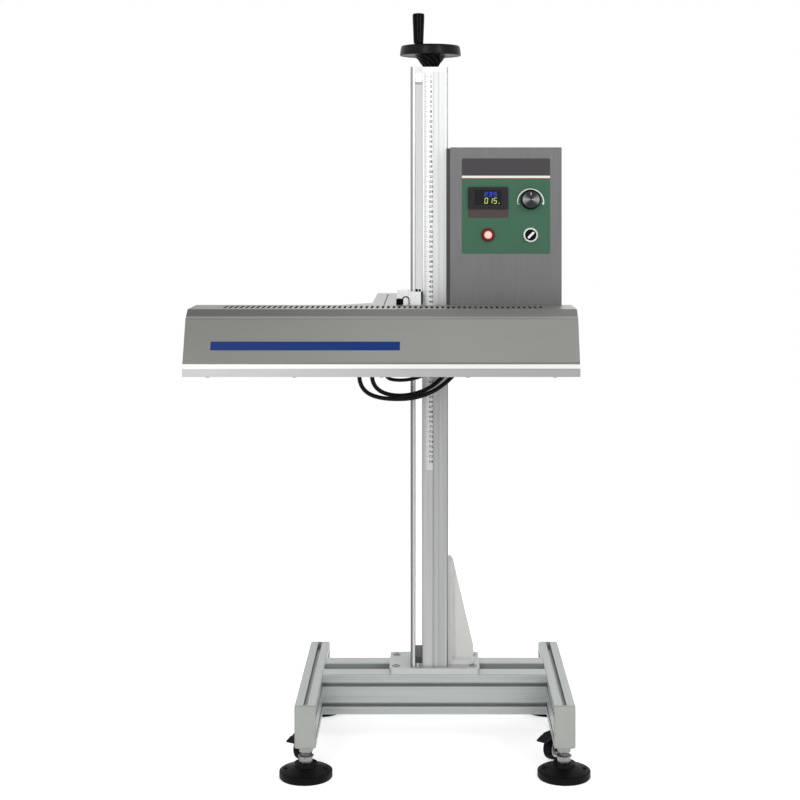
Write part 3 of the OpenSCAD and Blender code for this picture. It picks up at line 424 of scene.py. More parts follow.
# Levelling feet: zinc-plated threaded stems with a hexagon above the pad and a lock nut under the
# leg. The pads are moulded black nylon.

def soften(line, rounds=2):
    """Corner cutting: each side gives the points at one and three quarters of it, the ends stay."""
    line = np.asarray(line, float)
    for _ in range(rounds):
        cuts = np.stack([0.75 * line[:-1] + 0.25 * line[1:], 0.25 * line[:-1] + 0.75 * line[1:]], axis=1)
        line = np.concatenate([line[:1], cuts.reshape(-1, line.shape[1]), line[-1:]])
    return line


def rounded_profile(line_mm, rounds=2):
    """Radii and heights in metres of a softened outline in millimetres."""
    line = soften(np.array(line_mm) / 1000, rounds)
    return line[:, 0], line[:, 1]


def screw_thread(major, pitch, low, high, depth, columns=24, steps=6):
    """Thread: the radius falls and rises with height/pitch minus angle/turn, in a flat-topped wave."""
    rows = max(2, int(round((high - low) / pitch * steps)))
    height = np.linspace(low, high, rows + 1)[:, None]
    wave = ((height / pitch - circle(columns)[None, :] / (2 * math.pi)) % 1.0 - 0.5) * 2
    radius = major / 2 - depth * np.clip(np.abs(wave) * 1.7 - 0.25, 0, 1)
    ends = np.zeros((1, columns))
    level = np.concatenate([[[low]], height, [[high]]])
    return turned(list(np.concatenate([ends, radius, ends])), list(level), columns)


def nut(across, height, base):
    """Hexagon with both rims chamfered: the lesser of hexagon and cone at each height."""
    rise = np.array([0, 0.04, 0.12, 0.5, 0.88, 0.96, 1.0]) * height
    cone = across / 2 * 0.96 + np.minimum(rise, height - rise) * 1.5
    sides = [np.minimum(hexagon_radius(circle(48), across), limit) for limit in cone]
    return turned([0, *sides, 0], [base, *(base + rise), base + height])


def disc(radius, low, high, columns=48):
    """Plain round disc or pin."""
    return turned([0, radius, radius, 0], [low, low, high, high], columns)


def shine(level):
    """How strongly a plastic mirrors its surroundings."""
    return {"Specular IOR Level": level}


matt = shine(0.08)
corners = ["front_left", "front_right", "rear_left", "rear_right"]
pad_nylon = moulded("pad_nylon", tone(11, 11, 12), 0.48, matt, depth=2.5e-5)
stem_d = 0.016
stem_pitch = 0.002
stem_groove = 0.0010
nut_across = 0.024
nut_height = 0.012
washer_r = 0.0145
washer_t = 0.0012
foot_places = []
for corner in corners:
    low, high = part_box("foot_stem_" + corner)
    pad_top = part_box("foot_pad_" + corner)[1].z
    nut_top = pad_top + nut_height
    foot_place = upright_axis("foot_stem_" + corner)
    stem = joined(screw_thread(stem_d, stem_pitch, low.z, high.z, stem_groove),
                  nut(nut_across, nut_height, pad_top), disc(washer_r, nut_top, nut_top + washer_t))
    piece = add_piece("stem_" + corner, moved(stem, foot_place), [plating], "foot_" + corner)
    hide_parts("foot_stem_" + corner)
    dress(pad_nylon, "foot_pad_" + corner)
    foot_places.append(foot_place)
lock_low, lock_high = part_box("foot_lock_nuts")
lock_nut = nut(nut_across, lock_high.z - lock_low.z, lock_low.z)
lock_nuts = add_piece("lock_nuts", repeated(lock_nut, foot_places), [plating], "stand")
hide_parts("foot_lock_nuts")


# Casters: folded black-painted forks on riveted plates, black rubber tyres on pale nylon centres,
# and a black pedal on the front pair.
fork_paint = moulded("fork_paint", tone(26, 26, 28), 0.42, matt)
dress(fork_paint, "caster_plates", *["caster_fork_" + corner for corner in corners])
pedal_plastic = moulded("pedal_plastic", tone(20, 20, 22), 0.45, matt)
dress(pedal_plastic, "caster_brake_left", "caster_brake_right")
tyre_rubber = moulded("tyre_rubber", tone(18, 18, 19), 0.62, matt, depth=3e-5)
rim_nylon = moulded("wheel_rim_nylon", tone(222, 223, 220), 0.45)
# Painted shade: the recessed web of the nylon centre is coloured darker than its rim.
shaded_web_nylon = moulded("wheel_web_nylon", tone(120, 121, 120), 0.5)
tread = [(17, -8.6), (17.6, -9.3), (20.5, -9.5), (23, -6.6), (23, 6.6), (20.5, 9.5), (17.6, 9.3),
         (17, 8.6), (17, -8.6)]
rim = [(14.6, -8.2), (17, -8.6), (17, 8.6), (14.6, 8.2), (14.6, -8.2)]
web = [(3.05, -9.5), (7.2, -9.5), (7.2, -6.8), (14.6, -6.8), (14.6, 6.8), (7.2, 6.8), (7.2, 9.5),
       (3.05, 9.5), (3.05, -9.5)]
rings = [turned(*rounded_profile(line, rounds), 64) for line, rounds in ((tread, 2), (rim, 0), (web, 0))]
wheel_kinds = np.repeat([0, 1, 2], [len(faces) for _, faces in rings])
for corner in corners:
    roll = next(joint for joint in frame["joints"] if joint["name"] == "caster_" + corner + "_roll")
    wheel = moved(aimed(joined(*rings), roll["axis"]), roll["pos_m"])
    piece = add_piece("wheel_" + corner, wheel, [tyre_rubber, rim_nylon, shaded_web_nylon],
                      "wheel_" + corner, kinds=wheel_kinds)
    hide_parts("caster_wheel_" + corner)


# Column: bright anodised extrusions, a flat side plate and a C-section with a gap between them for
# the carriage, closed by milled blocks at foot and head and braced by a cast gusset.
screw_axis = upright_axis("lead_screw")
screw_x = screw_axis[0]
column_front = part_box("column_profile")[0].y
face_depth = 0.002
shade_fade_start = 0.70
shade_fade_end = 0.95


def banded_metal(name, high, low, bands):
    """Anodised bar with die lines and painted shade that darkens it below; each band on the front,
    from and to an x counted from the screw axis, is darkened by its share."""
    metal = Finish(name, high, 0.34, 0.55)
    lines = metal.noise(0.0024, 3.0, (1, 1, 120))
    x, y, z = metal.axes()
    # Painted shade: the colour goes from low at the bottom to high at the top.
    own = metal.blend(metal.ramp(z, shade_fade_start, shade_fade_end), low, high)
    own = metal.blend(metal.ramp(lines, 0.3, 0.7) * 0.13, own, black)
    on_face = y < column_front + face_depth
    for start, end, share in bands:
        inside = x.between(screw_x + start, screw_x + end) * on_face
        own = metal.blend(inside * share, own, black)
    metal.feed(colour=own, roughness=0.34 + (lines - 0.5) * 0.1, normal=metal.bump(lines, 3e-6))
    return metal


side_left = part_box("column_side_plate")[0].x - screw_x
# Painted shade: a dark band along the outer left edge, used on the side plate and the head block.
shaded_edge = (side_left - 0.001, side_left + 0.0046, 0.70)
bright = tone(249, 250, 250)
# Painted shade on the side plate: its dark outer edge and a greyer band beside the carriage gap.
dress(banded_metal("side_plate_anodising", bright, tone(204, 206, 206),
                   [shaded_edge, (side_left + 0.0078, side_left + 0.02, 0.2)]), "column_side_plate")
# Painted shade on the column's front: dark bands along the rule's right edge and along the right edge beside
# the box, and a slightly darker face right of the rule; a thin dark line runs at 15.5-17.8 mm.
dress(banded_metal("column_anodising", bright, tone(180, 182, 181),
                   [(0.0040, 0.0066, 0.26), (0.0066, 0.0300, 0.10), (0.0155, 0.0178, 0.16),
                    (0.0322, 0.0355, 0.50)]), "column_profile")
# Painted shade on the head block's front: dark strips along both edges and a grey band over the carriage
# gap.
dress(banded_metal("head_block_milled", bright, bright,
                   [shaded_edge, (0.0325, 0.0360, 0.55),
                    (side_left + 0.0096, side_left + 0.0232, 0.18)]), "column_head_block")
foot_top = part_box("column_foot_block")[1].z
foot_shadow = 0.013
foot_milled = Finish("foot_block_milled", tone(178, 180, 180), 0.45, 0.4)
_, _, foot_z = foot_milled.axes()
streaks = foot_milled.noise(0.005, 1.0, (1, 1, 60))
streaked = foot_milled.vary(foot_milled.ramp(streaks, 0.4, 0.6), 0.35, 1.2)
foot_milled.feed(colour=foot_milled.blend(foot_z > foot_top - foot_shadow, streaked, tone(52, 53, 54)))
dress(foot_milled, "column_foot_block")
dress(blasted("gusset_cast", tone(214, 214, 211), 0.55, 0.1, 3e-5), "column_gusset")


# Scale rule: a thin satin steel strip glued to the column's front. Its marks are etched and filled
# black: a line at each millimetre, longer ones at five and ten, and a number at each centimetre.
rule_low, rule_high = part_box("scale_rule")
rule_zero = rule_high.z + 0.0027
rule_steel = Finish("rule_steel", bright, 0.36, 0.5)
rule_x, _, rule_z = rule_steel.axes()
from_zero = rule_zero - rule_z
grain = rule_steel.noise(0.0005, 2.0, (1, 1, 80))


def rule_lines(step, thick, length):
    """One where a line of that spacing lies: close to a multiple of step, and near the left edge."""
    near = ((from_zero + step / 2) % step - step / 2).math("ABSOLUTE")
    return (near < thick / 2) * (rule_x < rule_low.x + length)


marks = rule_lines(0.001, 0.00022, 0.0040).math("MAXIMUM", rule_lines(0.005, 0.0003, 0.0055))
marks = marks.math("MAXIMUM", rule_lines(0.010, 0.0004, 0.0075))
# Painted shade: the rule is darker towards the bottom, like the column.
rule_shaded_tone = rule_steel.blend(rule_steel.ramp(rule_z, shade_fade_start, shade_fade_end), tone(205, 207, 206), bright)
steel_colour = rule_steel.blend(grain * 0.12, rule_shaded_tone, black)
rule_steel.feed(colour=rule_steel.blend(marks, steel_colour, tone(38, 40, 42)),
                roughness=0.4 + (grain - 0.5) * 0.12 + marks * 0.25)
dress(rule_steel, "scale_rule")


def numeral(digit):
    """Thin upright digit, 1 high, facing -Y."""
    curve = bpy.data.curves.new("numeral", "FONT")
    curve.body = digit
    curve.resolution_u = 2
    curve.offset = 0.03
    curve.extrude = 0.02
    holder = placed("numeral", curve)
    bpy.context.view_layer.update()
    solid = holder.evaluated_get(bpy.context.evaluated_depsgraph_get()).to_mesh()
    points = np.empty(len(solid.vertices) * 3)
    solid.vertices.foreach_get("co", points)
    solid.calc_loop_triangles()
    faces = np.empty(len(solid.loop_triangles) * 3, np.int32)
    solid.loop_triangles.foreach_get("vertices", faces)
    bpy.data.objects.remove(holder)
    bpy.data.curves.remove(curve)
    points = points.reshape(-1, 3)[:, [0, 2, 1]] * (1, -1, 1) / 0.70
    points[:, 0] -= points[:, 0].min()
    return points, faces.reshape(-1, 3)


numerals = {digit: numeral(digit) for digit in "0123456789"}


def written(text, height, middle, front, base, gap=0.14):
    """Digits side by side about a middle, upright, facing -Y."""
    widths = np.array([numerals[digit][0][:, 0].max() for digit in text])
    starts = np.concatenate([[0], np.cumsum(widths[:-1] + gap)])
    left = middle - (starts[-1] + widths[-1]) * height / 2
    return joined(*[(numerals[digit][0] * height + np.array([left + start * height, front, base]),
                     numerals[digit][1]) for digit, start in zip(text, starts)])


etch = Finish("rule_black_fill", tone(24, 25, 27), 0.6)
etch.feed(colour=etch.vary(etch.noise(0.001, 2.0), 0.7, 1.4))
number_h = 0.0050
number_x = rule_low.x + 0.0136
last_number = 78
rule_numbers = [written(str(cm), number_h, number_x, rule_low.y, rule_zero - cm * 0.010 - number_h / 2)
                for cm in range(1, last_number + 1)]
add_piece("rule_numbers", joined(*rule_numbers), [etch], "stand")


# Lead screw: a turned steel bar with a trapezoidal thread. Its plain ends are ground to run in two
# bearings, at the foot and the head of the column.
screw_steel = drawn_metal("screw_ground", tone(160, 164, 166), 0.34, "z", metallic=0.9)
dress(screw_steel, "screw_bearings")
screw_low, screw_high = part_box("lead_screw")
head_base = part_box("column_head_block")[0].z
thread_gap = 0.0002
thread_low = foot_top + thread_gap
thread_high = head_base - thread_gap
journal_r = 0.0075
screw_bar = joined(screw_thread(0.020, 0.005, thread_low, thread_high, 0.0024, 20, 5),
                   disc(journal_r, screw_low.z, thread_low, 32),
                   disc(journal_r, thread_high, screw_high.z, 32))
screw_piece = add_piece("lead_screw_bar", moved(screw_bar, screw_axis), [screw_steel], "screw",
                        25)
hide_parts("lead_screw")


# Handwheel: a dished wheel in black phenolic with a tapered rim and a cone hub whose flutes wind
# round it. The grip turns on a steel spindle that is screwed into the rim.
phenolic = moulded("wheel_phenolic", tone(12, 12, 13), 0.36, shine(0.15), 0.0011, 8e-6)
grip_phenolic = moulded("grip_phenolic", tone(4, 4, 5), 0.14, shine(0.07), 0.0011, 1e-6)
wheel_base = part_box("handwheel")[0].z
wheel_columns = 176
wheel_r, wheel_rise = rounded_profile([
    (0, 0), (12, 0), (13.5, 2), (21.5, 13.5), (30.5, 24.5), (35.5, 27), (52, 27), (59.5, 25), (62, 25.7),
    (61.6, 30.5), (59.8, 43), (57.8, 45.5), (49.5, 45.5), (47, 43.5), (45.5, 34), (42, 33.3), (21, 33.3),
    (17, 34), (15.5, 40.5), (13.5, 41.5), (0, 41.5)])
flute_count = 11
flute_wind = 55.0
flute_depth = 0.0042
on_cone = (wheel_r < 0.0365) & (wheel_rise < 0.028)
swell = np.clip((wheel_r - 0.006) / 0.005, 0, 1) * np.clip((0.0275 - wheel_rise) / 0.005, 0, 1) * on_cone
flute = np.abs(np.sin((circle(wheel_columns)[None, :] + flute_wind * wheel_rise[:, None]) * flute_count / 2))
fluted_r = wheel_r[:, None] + flute_depth * (flute - 0.6) * swell[:, None]
dish = turned(list(fluted_r), list(wheel_rise + wheel_base), wheel_columns)
grip_axis = upright_axis("handwheel_grip")
grip_base = wheel_base + 0.0460
collar_r = 0.0062
collar = disc(collar_r, grip_base - 0.0025, grip_base + 0.0002)
wheel_piece = add_piece("handwheel_dish", joined(moved(dish, screw_axis), moved(collar, grip_axis)),
                        [phenolic], "screw", 40)
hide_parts("handwheel")
grip_r, grip_rise = rounded_profile([
    (0, 0), (9, 0), (10, 1.2), (10.6, 18), (11.4, 38), (12, 52), (11.9, 58.2), (10.6, 60.4), (5, 60.9),
    (0, 61)])
grip_piece = add_piece("grip_sleeve", moved(turned(grip_r, grip_rise + grip_base, 64), grip_axis),
                       [grip_phenolic], "grip", 50)
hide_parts("handwheel_grip")


# Gap shade: a thin frosted film, cut to the width of the column's gap, closes the back of the gap
# from behind the carriage up to the head block; its faint grey is painted shade in the gap.

def lofted(outlines):
    """Skin over a row of like rings of points, each end closed to its middle."""
    outlines = np.asarray(outlines)
    columns = outlines.shape[1]
    ends = [np.repeat(outlines[[end]].mean(axis=1, keepdims=True), columns, axis=1) for end in (0, -1)]
    rows = np.concatenate([ends[0], outlines, ends[1]])
    return rows.reshape(-1, 3), grid_faces(len(rows), columns)


def plate_shape(low, high):
    """Box between two corners."""
    x, z = np.array([low[0], high[0], high[0], low[0]]), np.array([low[2], low[2], high[2], high[2]])
    return lofted([np.stack([x, np.full(4, y), z], axis=1) for y in (low[1], high[1])])


side_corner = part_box("column_side_plate")[1]
gap_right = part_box("column_profile")[0].x
strip_gap = 0.0002
strip_front = side_corner.y - 0.0065
strip_back = side_corner.y - 0.0050
# Painted shade: the see-through pale film greys the gap behind it.
gap_shade_film = moulded("dust_strip_film", tone(236, 237, 236), 0.6, {**shine(0.2), "Alpha": 0.2})
dust_strip = plate_shape((side_corner.x + strip_gap, strip_front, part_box("carriage_block")[0].z),
                         (gap_right - strip_gap, strip_back, head_base - 0.0005))
add_piece("dust_strip", dust_strip, [gap_shade_film], "stand")


# Carriage, clamp and arm: milled aluminium blocks that grip a grooved square tube. A bronze nut in
# the carriage runs on the screw, black socket screws pull the blocks together, a black bow stands on
# the clamp's front, and a thin black strip beside the rule is painted shadow.

def band(centre_x, centre_z, inner, outer, start, end, front, back):
    """Thin ring sector facing -Y: a small rectangle carried from start to end degrees."""
    angle = np.radians(np.linspace(start, end, 72))[:, None]
    r = np.array([[inner, outer, outer, inner]])
    y = np.broadcast_to([[front, front, back, back]], (72, 4))
    return lofted(np.stack([centre_x + r * np.cos(angle), y, centre_z + r * np.sin(angle)], axis=-1))


milled = drawn_metal("carriage_milled", tone(252, 253, 253), 0.42, "z", line=0.0008, metallic=0.3)
dress(milled, "carriage_block", "arm_clamp")
arm_low, arm_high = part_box("reach_arm")
groove_x = screw_x - 0.092
groove_half = 0.0014
groove_start = arm_low.y + 0.0085
arm_drawn = Finish("arm_drawn", tone(168, 169, 169), 0.42, 0.35)
arm_x, arm_y, _ = arm_drawn.axes()
arm_lines = arm_drawn.noise(0.0009, 3.0, (1, 120, 1))
# Painted shade: the groove along the arm's top is coloured near black.
groove_shade = arm_x.between(groove_x - groove_half, groove_x + groove_half) * (arm_y > groove_start)
arm_colour = arm_drawn.vary(arm_lines, 0.92, 1.05)
arm_drawn.feed(colour=arm_drawn.blend(groove_shade, arm_colour, tone(40, 41, 42)),
               roughness=0.42 + (arm_lines - 0.5) * 0.1)
dress(arm_drawn, "reach_arm", "arm_gusset")
dress(drawn_metal("shelf_sheet", tone(178, 181, 183), 0.42, "x", metallic=0.7), "box_shelf")
dress(drawn_metal("nut_bronze", tone(170, 134, 80), 0.36, "z", metallic=0.9), "lead_nut")
black_oxide = moulded("screw_black_oxide", tone(15, 15, 16), 0.42, matt, 0.0004, 4e-6)
clamp_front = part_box("arm_clamp")[0].y
block_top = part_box("carriage_block")[1].z
flange_screw = moved(socket_screw(head_d=0.0118, head_h=0.0135, socket=0.006, knurls=24, knurl=0.0009),
                     (screw_x - 0.062, arm_low.y + 0.0065, arm_high.z))
block_screws = [(screw_x + x, clamp_front + y, block_top)
                for x, y in ((-0.0274, 0.006), (-0.0274, 0.022), (-0.0216, 0.012))]
small_screw = socket_screw(head_d=0.0046, head_h=0.0044, socket=0.002)
# Painted shadow: a thin black strip on the carriage gives the shadow line beside the rule.
rule_shadow_strip = plate_shape((screw_x - 0.0190, clamp_front + 0.012, block_top - 0.026),
                    (screw_x - 0.0160, clamp_front + 0.0275, block_top - 0.001))
bow_x = screw_x - 0.0488
bow_z = block_top - 0.0160
bow_r = 0.0076
bow_t = 0.0024
bow_front = clamp_front - 0.0006
bow_leg = 0.009
bow_legs = [plate_shape((bow_x + side - bow_t / 2, bow_front, bow_z - bow_leg),
                        (bow_x + side + bow_t / 2, clamp_front, bow_z))
            for side in (bow_t / 2 - bow_r, bow_r - bow_t / 2)]
bow = joined(band(bow_x, bow_z, bow_r - bow_t, bow_r, 0, 180, bow_front, clamp_front), *bow_legs)
add_piece("clamp_screws", joined(flange_screw, repeated(small_screw, block_screws), rule_shadow_strip, bow),
          [black_oxide], "lift")


# Sealing head: a folded hood in satin grey sheet with a row of punched vents, over a brushed
# aluminium tray that carries the coil board. A plain printed stripe runs along the front.
hood_sheet = Finish("hood_satin", tone(146, 146, 142), 0.38, 0.5, shine(0.2))
hood_x, hood_y, hood_z = hood_sheet.axes()
brush = hood_sheet.noise(0.0007, 3.0, (150, 1, 1))
cloud = hood_sheet.noise(0.16, 3.0)
on_front = hood_y < upright_axis("head_hood")[1]
stripe_x = (screw_x - 0.4118, screw_x - 0.0573)
stripe_z = (0.8058, 0.8217)
stripe = hood_x.between(*stripe_x) * hood_z.between(*stripe_z) * on_front
sheet_colour = hood_sheet.vary(brush * 0.6 + cloud * 0.4, 0.90, 1.09)
# Painted shade: the sheet darkens towards its left end.
hood_left_shade = hood_sheet.ramp(hood_x, screw_x + 0.06, screw_x - 0.46)
sheet_colour = hood_sheet.blend(hood_left_shade * 0.36, sheet_colour, black)
# Painted highlight: a light line along the fold at fold_z.
fold_z = 0.8648
bend = hood_sheet.ramp((hood_z - fold_z).math("ABSOLUTE"), 0.0030, 0.0006)
sheet_colour = hood_sheet.blend(bend * 0.5, sheet_colour, tone(205, 205, 200))
hood_sheet.feed(colour=hood_sheet.blend(stripe, sheet_colour, tone(2, 44, 114)),
                roughness=0.38 + (brush - 0.5) * 0.12 + (cloud - 0.5) * 0.10,
                metallic=0.5 - stripe * 0.5, normal=hood_sheet.bump(brush, 3e-6))
dress(hood_sheet, "head_hood")

tray_low, tray_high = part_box("head_tray")
tray_metal = Finish("tray_brushed", tone(200, 200, 199), 0.36, 0.5)
tray_x, _, tray_z = tray_metal.axes()
tray_lines = tray_metal.noise(0.0006, 3.0, (150, 1, 1))
tray_colour = tray_metal.vary(tray_lines, 0.9, 1.1)
# Painted shade: the tray darkens towards its right end.
tray_right_shade = tray_metal.ramp(tray_x, tray_low.x, tray_high.x)
tray_colour = tray_metal.blend(tray_right_shade * 0.34, tray_colour, black)
# Painted highlight: the tray's top lip is coloured near white from lip_start up to lip_end.
lip_start = 0.7728
lip_full = 0.7742
lip_end = 0.7810
tray_colour = tray_metal.blend(tray_metal.ramp(tray_z, lip_start, lip_full), tray_colour, tone(247, 247, 246))
tray_colour = tray_metal.blend(tray_z > lip_end, tray_colour, tone(128, 128, 124))
tray_metal.feed(colour=tray_colour,
                roughness=0.36 + (tray_lines - 0.5) * 0.15, normal=tray_metal.bump(tray_lines, 3e-6))
dress(tray_metal, "head_tray")
laminate = Finish("board_laminate", tone(222, 215, 195), 0.5)
weave_x, weave_y, _ = laminate.axes()
threads = 2400
cloth = (weave_x * threads).math("SINE") * (weave_y * threads).math("SINE")
laminate.feed(colour=laminate.vary(cloth * 0.5 + 0.5, 0.93, 1.04),
              normal=laminate.bump(cloth, 1e-5))
dress(laminate, "coil_board")
litz = Finish("coil_litz", tone(176, 106, 60), 0.4, 0.6)
strands = litz.noise(0.0006, 2.0, (40, 1, 1))
litz.feed(colour=litz.vary(strands, 0.6, 1.25), normal=litz.bump(strands, 2e-4))
dress(litz, "coil_winding")
dress(moulded("ferrite_sintered", tone(58, 59, 61), 0.6), "ferrite_bars")
tray_middle = upright_axis("head_tray")[0]
pan_head = turned(*rounded_profile([(0, 0), (4.6, 0), (4.6, 0.9), (3.4, 2.4), (0, 2.8)]), 32)
tray_pitch = 0.162
tray_screws = [(tray_middle + step * tray_pitch, tray_low.y + 0.013, tray_low.z) for step in range(-2, 3)]
add_piece("tray_screws", repeated(aimed(pan_head, (0, 0, -1)), tray_screws), [plating], "lift")


# Control box: a folded shell in brushed stainless sheet with a screwed back cover. The glands and
# grommets are black nylon, and a thin dark strip is put as painted shadow in the gap by the column.
box_sheet = drawn_metal("box_brushed", tone(116, 116, 117), 0.38, "z", swing=0.14, metallic=0.6)
dress(box_sheet, "box_shell", "box_back_cover")
dress(moulded("gland_nylon", tone(18, 18, 19), 0.45, matt), "cable_glands")
dress(drawn_metal("module_heat_sink", tone(170, 173, 175), 0.4, "y", metallic=0.7), "power_module")
shell_low, shell_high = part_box("box_shell")
# Painted shadow: a dark strip along the box's left edge, in front of the column's edge.
box_shadow_finish = moulded("box_edge_rubber", tone(104, 104, 105), 0.6, matt)
edge_w = 0.0076
edge_inset = 0.0010
box_shadow_strip = plate_shape((shell_low.x - edge_w, column_front - 0.0014, shell_low.z + edge_inset),
                         (shell_low.x, column_front - 0.0005, shell_high.z - edge_inset))
add_piece("box_edge_strip", box_shadow_strip, [box_shadow_finish], "lift")
cover_inset = 0.012
cover_z = (shell_low.z + cover_inset, (shell_low.z + shell_high.z) / 2, shell_high.z - cover_inset)
cover_screws = [(x, shell_high.y, z) for z in cover_z
                for x in (shell_low.x + cover_inset, shell_high.x - cover_inset)]
add_piece("cover_screws", repeated(aimed(pan_head, (0, 1, 0)), cover_screws), [plating], "lift")
foot_screw_z = shell_low.z + 0.0059
foot_screws = [(shell_low.x + x, shell_low.y, foot_screw_z) for x in (0.048, 0.0875, 0.1763)]
add_piece("box_foot_screws", repeated(aimed(pan_head, (0, -1, 0)), foot_screws), [plating], "lift")


# Control panel: a printed film on the box's front, a charcoal header over a green field with a pale
# and a red rule between them. A brown field lies under the meter, and the dial's arc and its end
# marks are printed white.

def face_middle(node):
    """The x and z of the middle of a node's box."""
    low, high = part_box(node)
    return (low.x + high.x) / 2, (low.z + high.z) / 2


def bar_mark(centre_x, centre_z, width, height, front, back, lean=0.0):
    """Upright bar with round ends between two depths, leaned by an angle in degrees."""
    angle = circle(32) + math.pi / 32
    r = min(width, height) / 2
    along = r * np.cos(angle) + np.sign(np.cos(angle)) * (width / 2 - r)
    across = r * np.sin(angle) + np.sign(np.sin(angle)) * (height / 2 - r)
    lean = math.radians(lean)
    x = centre_x + along * math.cos(lean) - across * math.sin(lean)
    z = centre_z + along * math.sin(lean) + across * math.cos(lean)
    return lofted([np.stack([x, np.full(32, y), z], axis=1) for y in (front, back)])


panel_low, panel_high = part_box("control_panel")
meter_x, meter_z = face_middle("panel_meter")
header_end = 0.0341
pale_rule_end = 0.0387
red_rule_end = 0.0404
label_x = (meter_x - 0.0403, meter_x + 0.0406)
label_z = (meter_z - 0.0396, meter_z - 0.021)
film = Finish("panel_film", tone(58, 102, 78), 0.42, 0.0, shine(0.3))
film_x, _, film_z = film.axes()
drop = panel_high.z - film_z
leather = film.noise(0.0008, 2.0)
tint = film.noise(0.05, 2.0)
printed = film.vary(tint * 0.7 + leather * 0.3, 0.9, 1.1)
printed = film.blend(drop < header_end, printed, film.blend(leather, tone(60, 58, 60), tone(68, 66, 68)))
printed = film.blend(drop.between(header_end, pale_rule_end), printed, tone(246, 236, 232))
printed = film.blend(drop.between(pale_rule_end, red_rule_end), printed, tone(128, 76, 66))
label = film_x.between(*label_x) * film_z.between(*label_z)
printed = film.blend(label, printed, tone(74, 62, 62))
film.feed(colour=printed, roughness=0.42 + (tint - 0.5) * 0.15, normal=film.bump(leather, 8e-6))
dress(film, "control_panel")
panel_front = panel_low.y
ink_t = 0.0001
ink_front = panel_front - ink_t
print_white = Finish("panel_white_ink", tone(250, 251, 248), 0.5)
ink = print_white.noise(0.0006, 2.0)
print_white.feed(colour=print_white.vary(ink, 0.9, 1.04))
knob_x, knob_z = face_middle("power_knob")
arc_z = knob_z - 0.0053
arc_inner = 0.0247
arc_outer = 0.0269
dial = joined(band(knob_x, arc_z, arc_inner, arc_outer, -2, 182, ink_front, panel_front),
              bar_mark(knob_x - 0.0245, knob_z - 0.0088, 0.0050, 0.0014, ink_front, panel_front),
              bar_mark(knob_x + 0.0249, knob_z - 0.0078, 0.0045, 0.0045, ink_front, panel_front))
add_piece("dial_print", dial, [print_white], "lift")


# Panel meter: a black moulded bezel with a smoked window. Two rows of seven-segment figures glow
# behind it, blue above and yellow-green below.
dress(moulded("meter_case", tone(48, 46, 48), 0.45, matt), "panel_meter")
window_w = 0.053
window_h = 0.030
window_z = meter_z + 0.001
window_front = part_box("panel_meter")[0].y + 0.0012
smoked = Finish("meter_window", tone(8, 9, 12), 0.2, 0.0, shine(0.25))
haze = smoked.noise(0.01, 2.0)
smoked.feed(colour=smoked.vary(haze, 0.7, 1.3), roughness=0.16 + haze * 0.08)
window = plate_shape((meter_x - window_w / 2, window_front, window_z - window_h / 2),
                     (meter_x + window_w / 2, window_front + 0.0003, window_z + window_h / 2))
add_piece("meter_window", window, [smoked], "lift")
segments = {"0": "abcdef", "1": "bc", "2": "abged", "3": "abgcd", "5": "afgcd"}
segment_places = {"a": (0.5, 1.0, 0), "g": (0.5, 0.5, 0), "d": (0.5, 0.0, 0), "b": (1.0, 0.75, 1),
                  "c": (1.0, 0.25, 1), "f": (0.0, 0.75, 1), "e": (0.0, 0.25, 1)}


def figures(text, left, base, size, pitch, stroke=0.0009, lean=0.1):
    """Seven-segment figures: each lit segment is a bar with round ends, sheared to the right."""
    width, height = size[0] - stroke, size[1] - stroke
    depths = (window_front - ink_t, window_front)
    shapes = []
    for place, sign in enumerate(text):
        for name in segments[sign]:
            across, up, upright = segment_places[name]
            bar = (stroke, height / 2 - stroke * 0.3) if upright else (width - stroke * 0.3, stroke)
            centre = (left + place * pitch + stroke / 2 + across * width, base + stroke / 2 + up * height)
            shapes.append(bar_mark(*centre, *bar, *depths))
    points, faces = joined(*shapes)
    points[:, 0] += (points[:, 2] - base) * lean
    return points, faces


def lit(name, colour, strength):
    """Glowing figures: the emission follows a faint unevenness."""
    glow = Finish(name, colour, 0.4, 0.0, {"Emission Strength": strength})
    glow.feed(glow=glow.vary(glow.noise(0.002, 2.0), 0.85, 1.1))
    return glow


top_row = figures("235", meter_x - 0.0081, meter_z + 0.0031, (0.0064, 0.0085), 0.0092)
add_piece("meter_figures_top", top_row, [lit("figures_blue", tone(34, 72, 190), 0.8)], "lift")
low_row = figures("015", meter_x - 0.0073, meter_z - 0.0111, (0.0062, 0.01125), 0.0089)
dot = bar_mark(meter_x + 0.0217, meter_z - 0.0104, 0.0016, 0.0016, window_front - ink_t, window_front)
add_piece("meter_figures_low", joined(low_row, dot), [lit("figures_lime", tone(190, 206, 92), 0.8)], "lift")


# Power knob: a black moulded skirt with ribs, pushed onto the shaft of the control behind the panel.
# Its spun aluminium cap is pressed in and carries a white pointer line. Its bright and dark wedges
# are painted reflection.
cap_spun = Finish("knob_spun", tone(190, 192, 193), 0.3, 0.5)
spun_x, _, spun_z = cap_spun.axes()
side_x = spun_x - knob_x
side_z = spun_z - knob_z
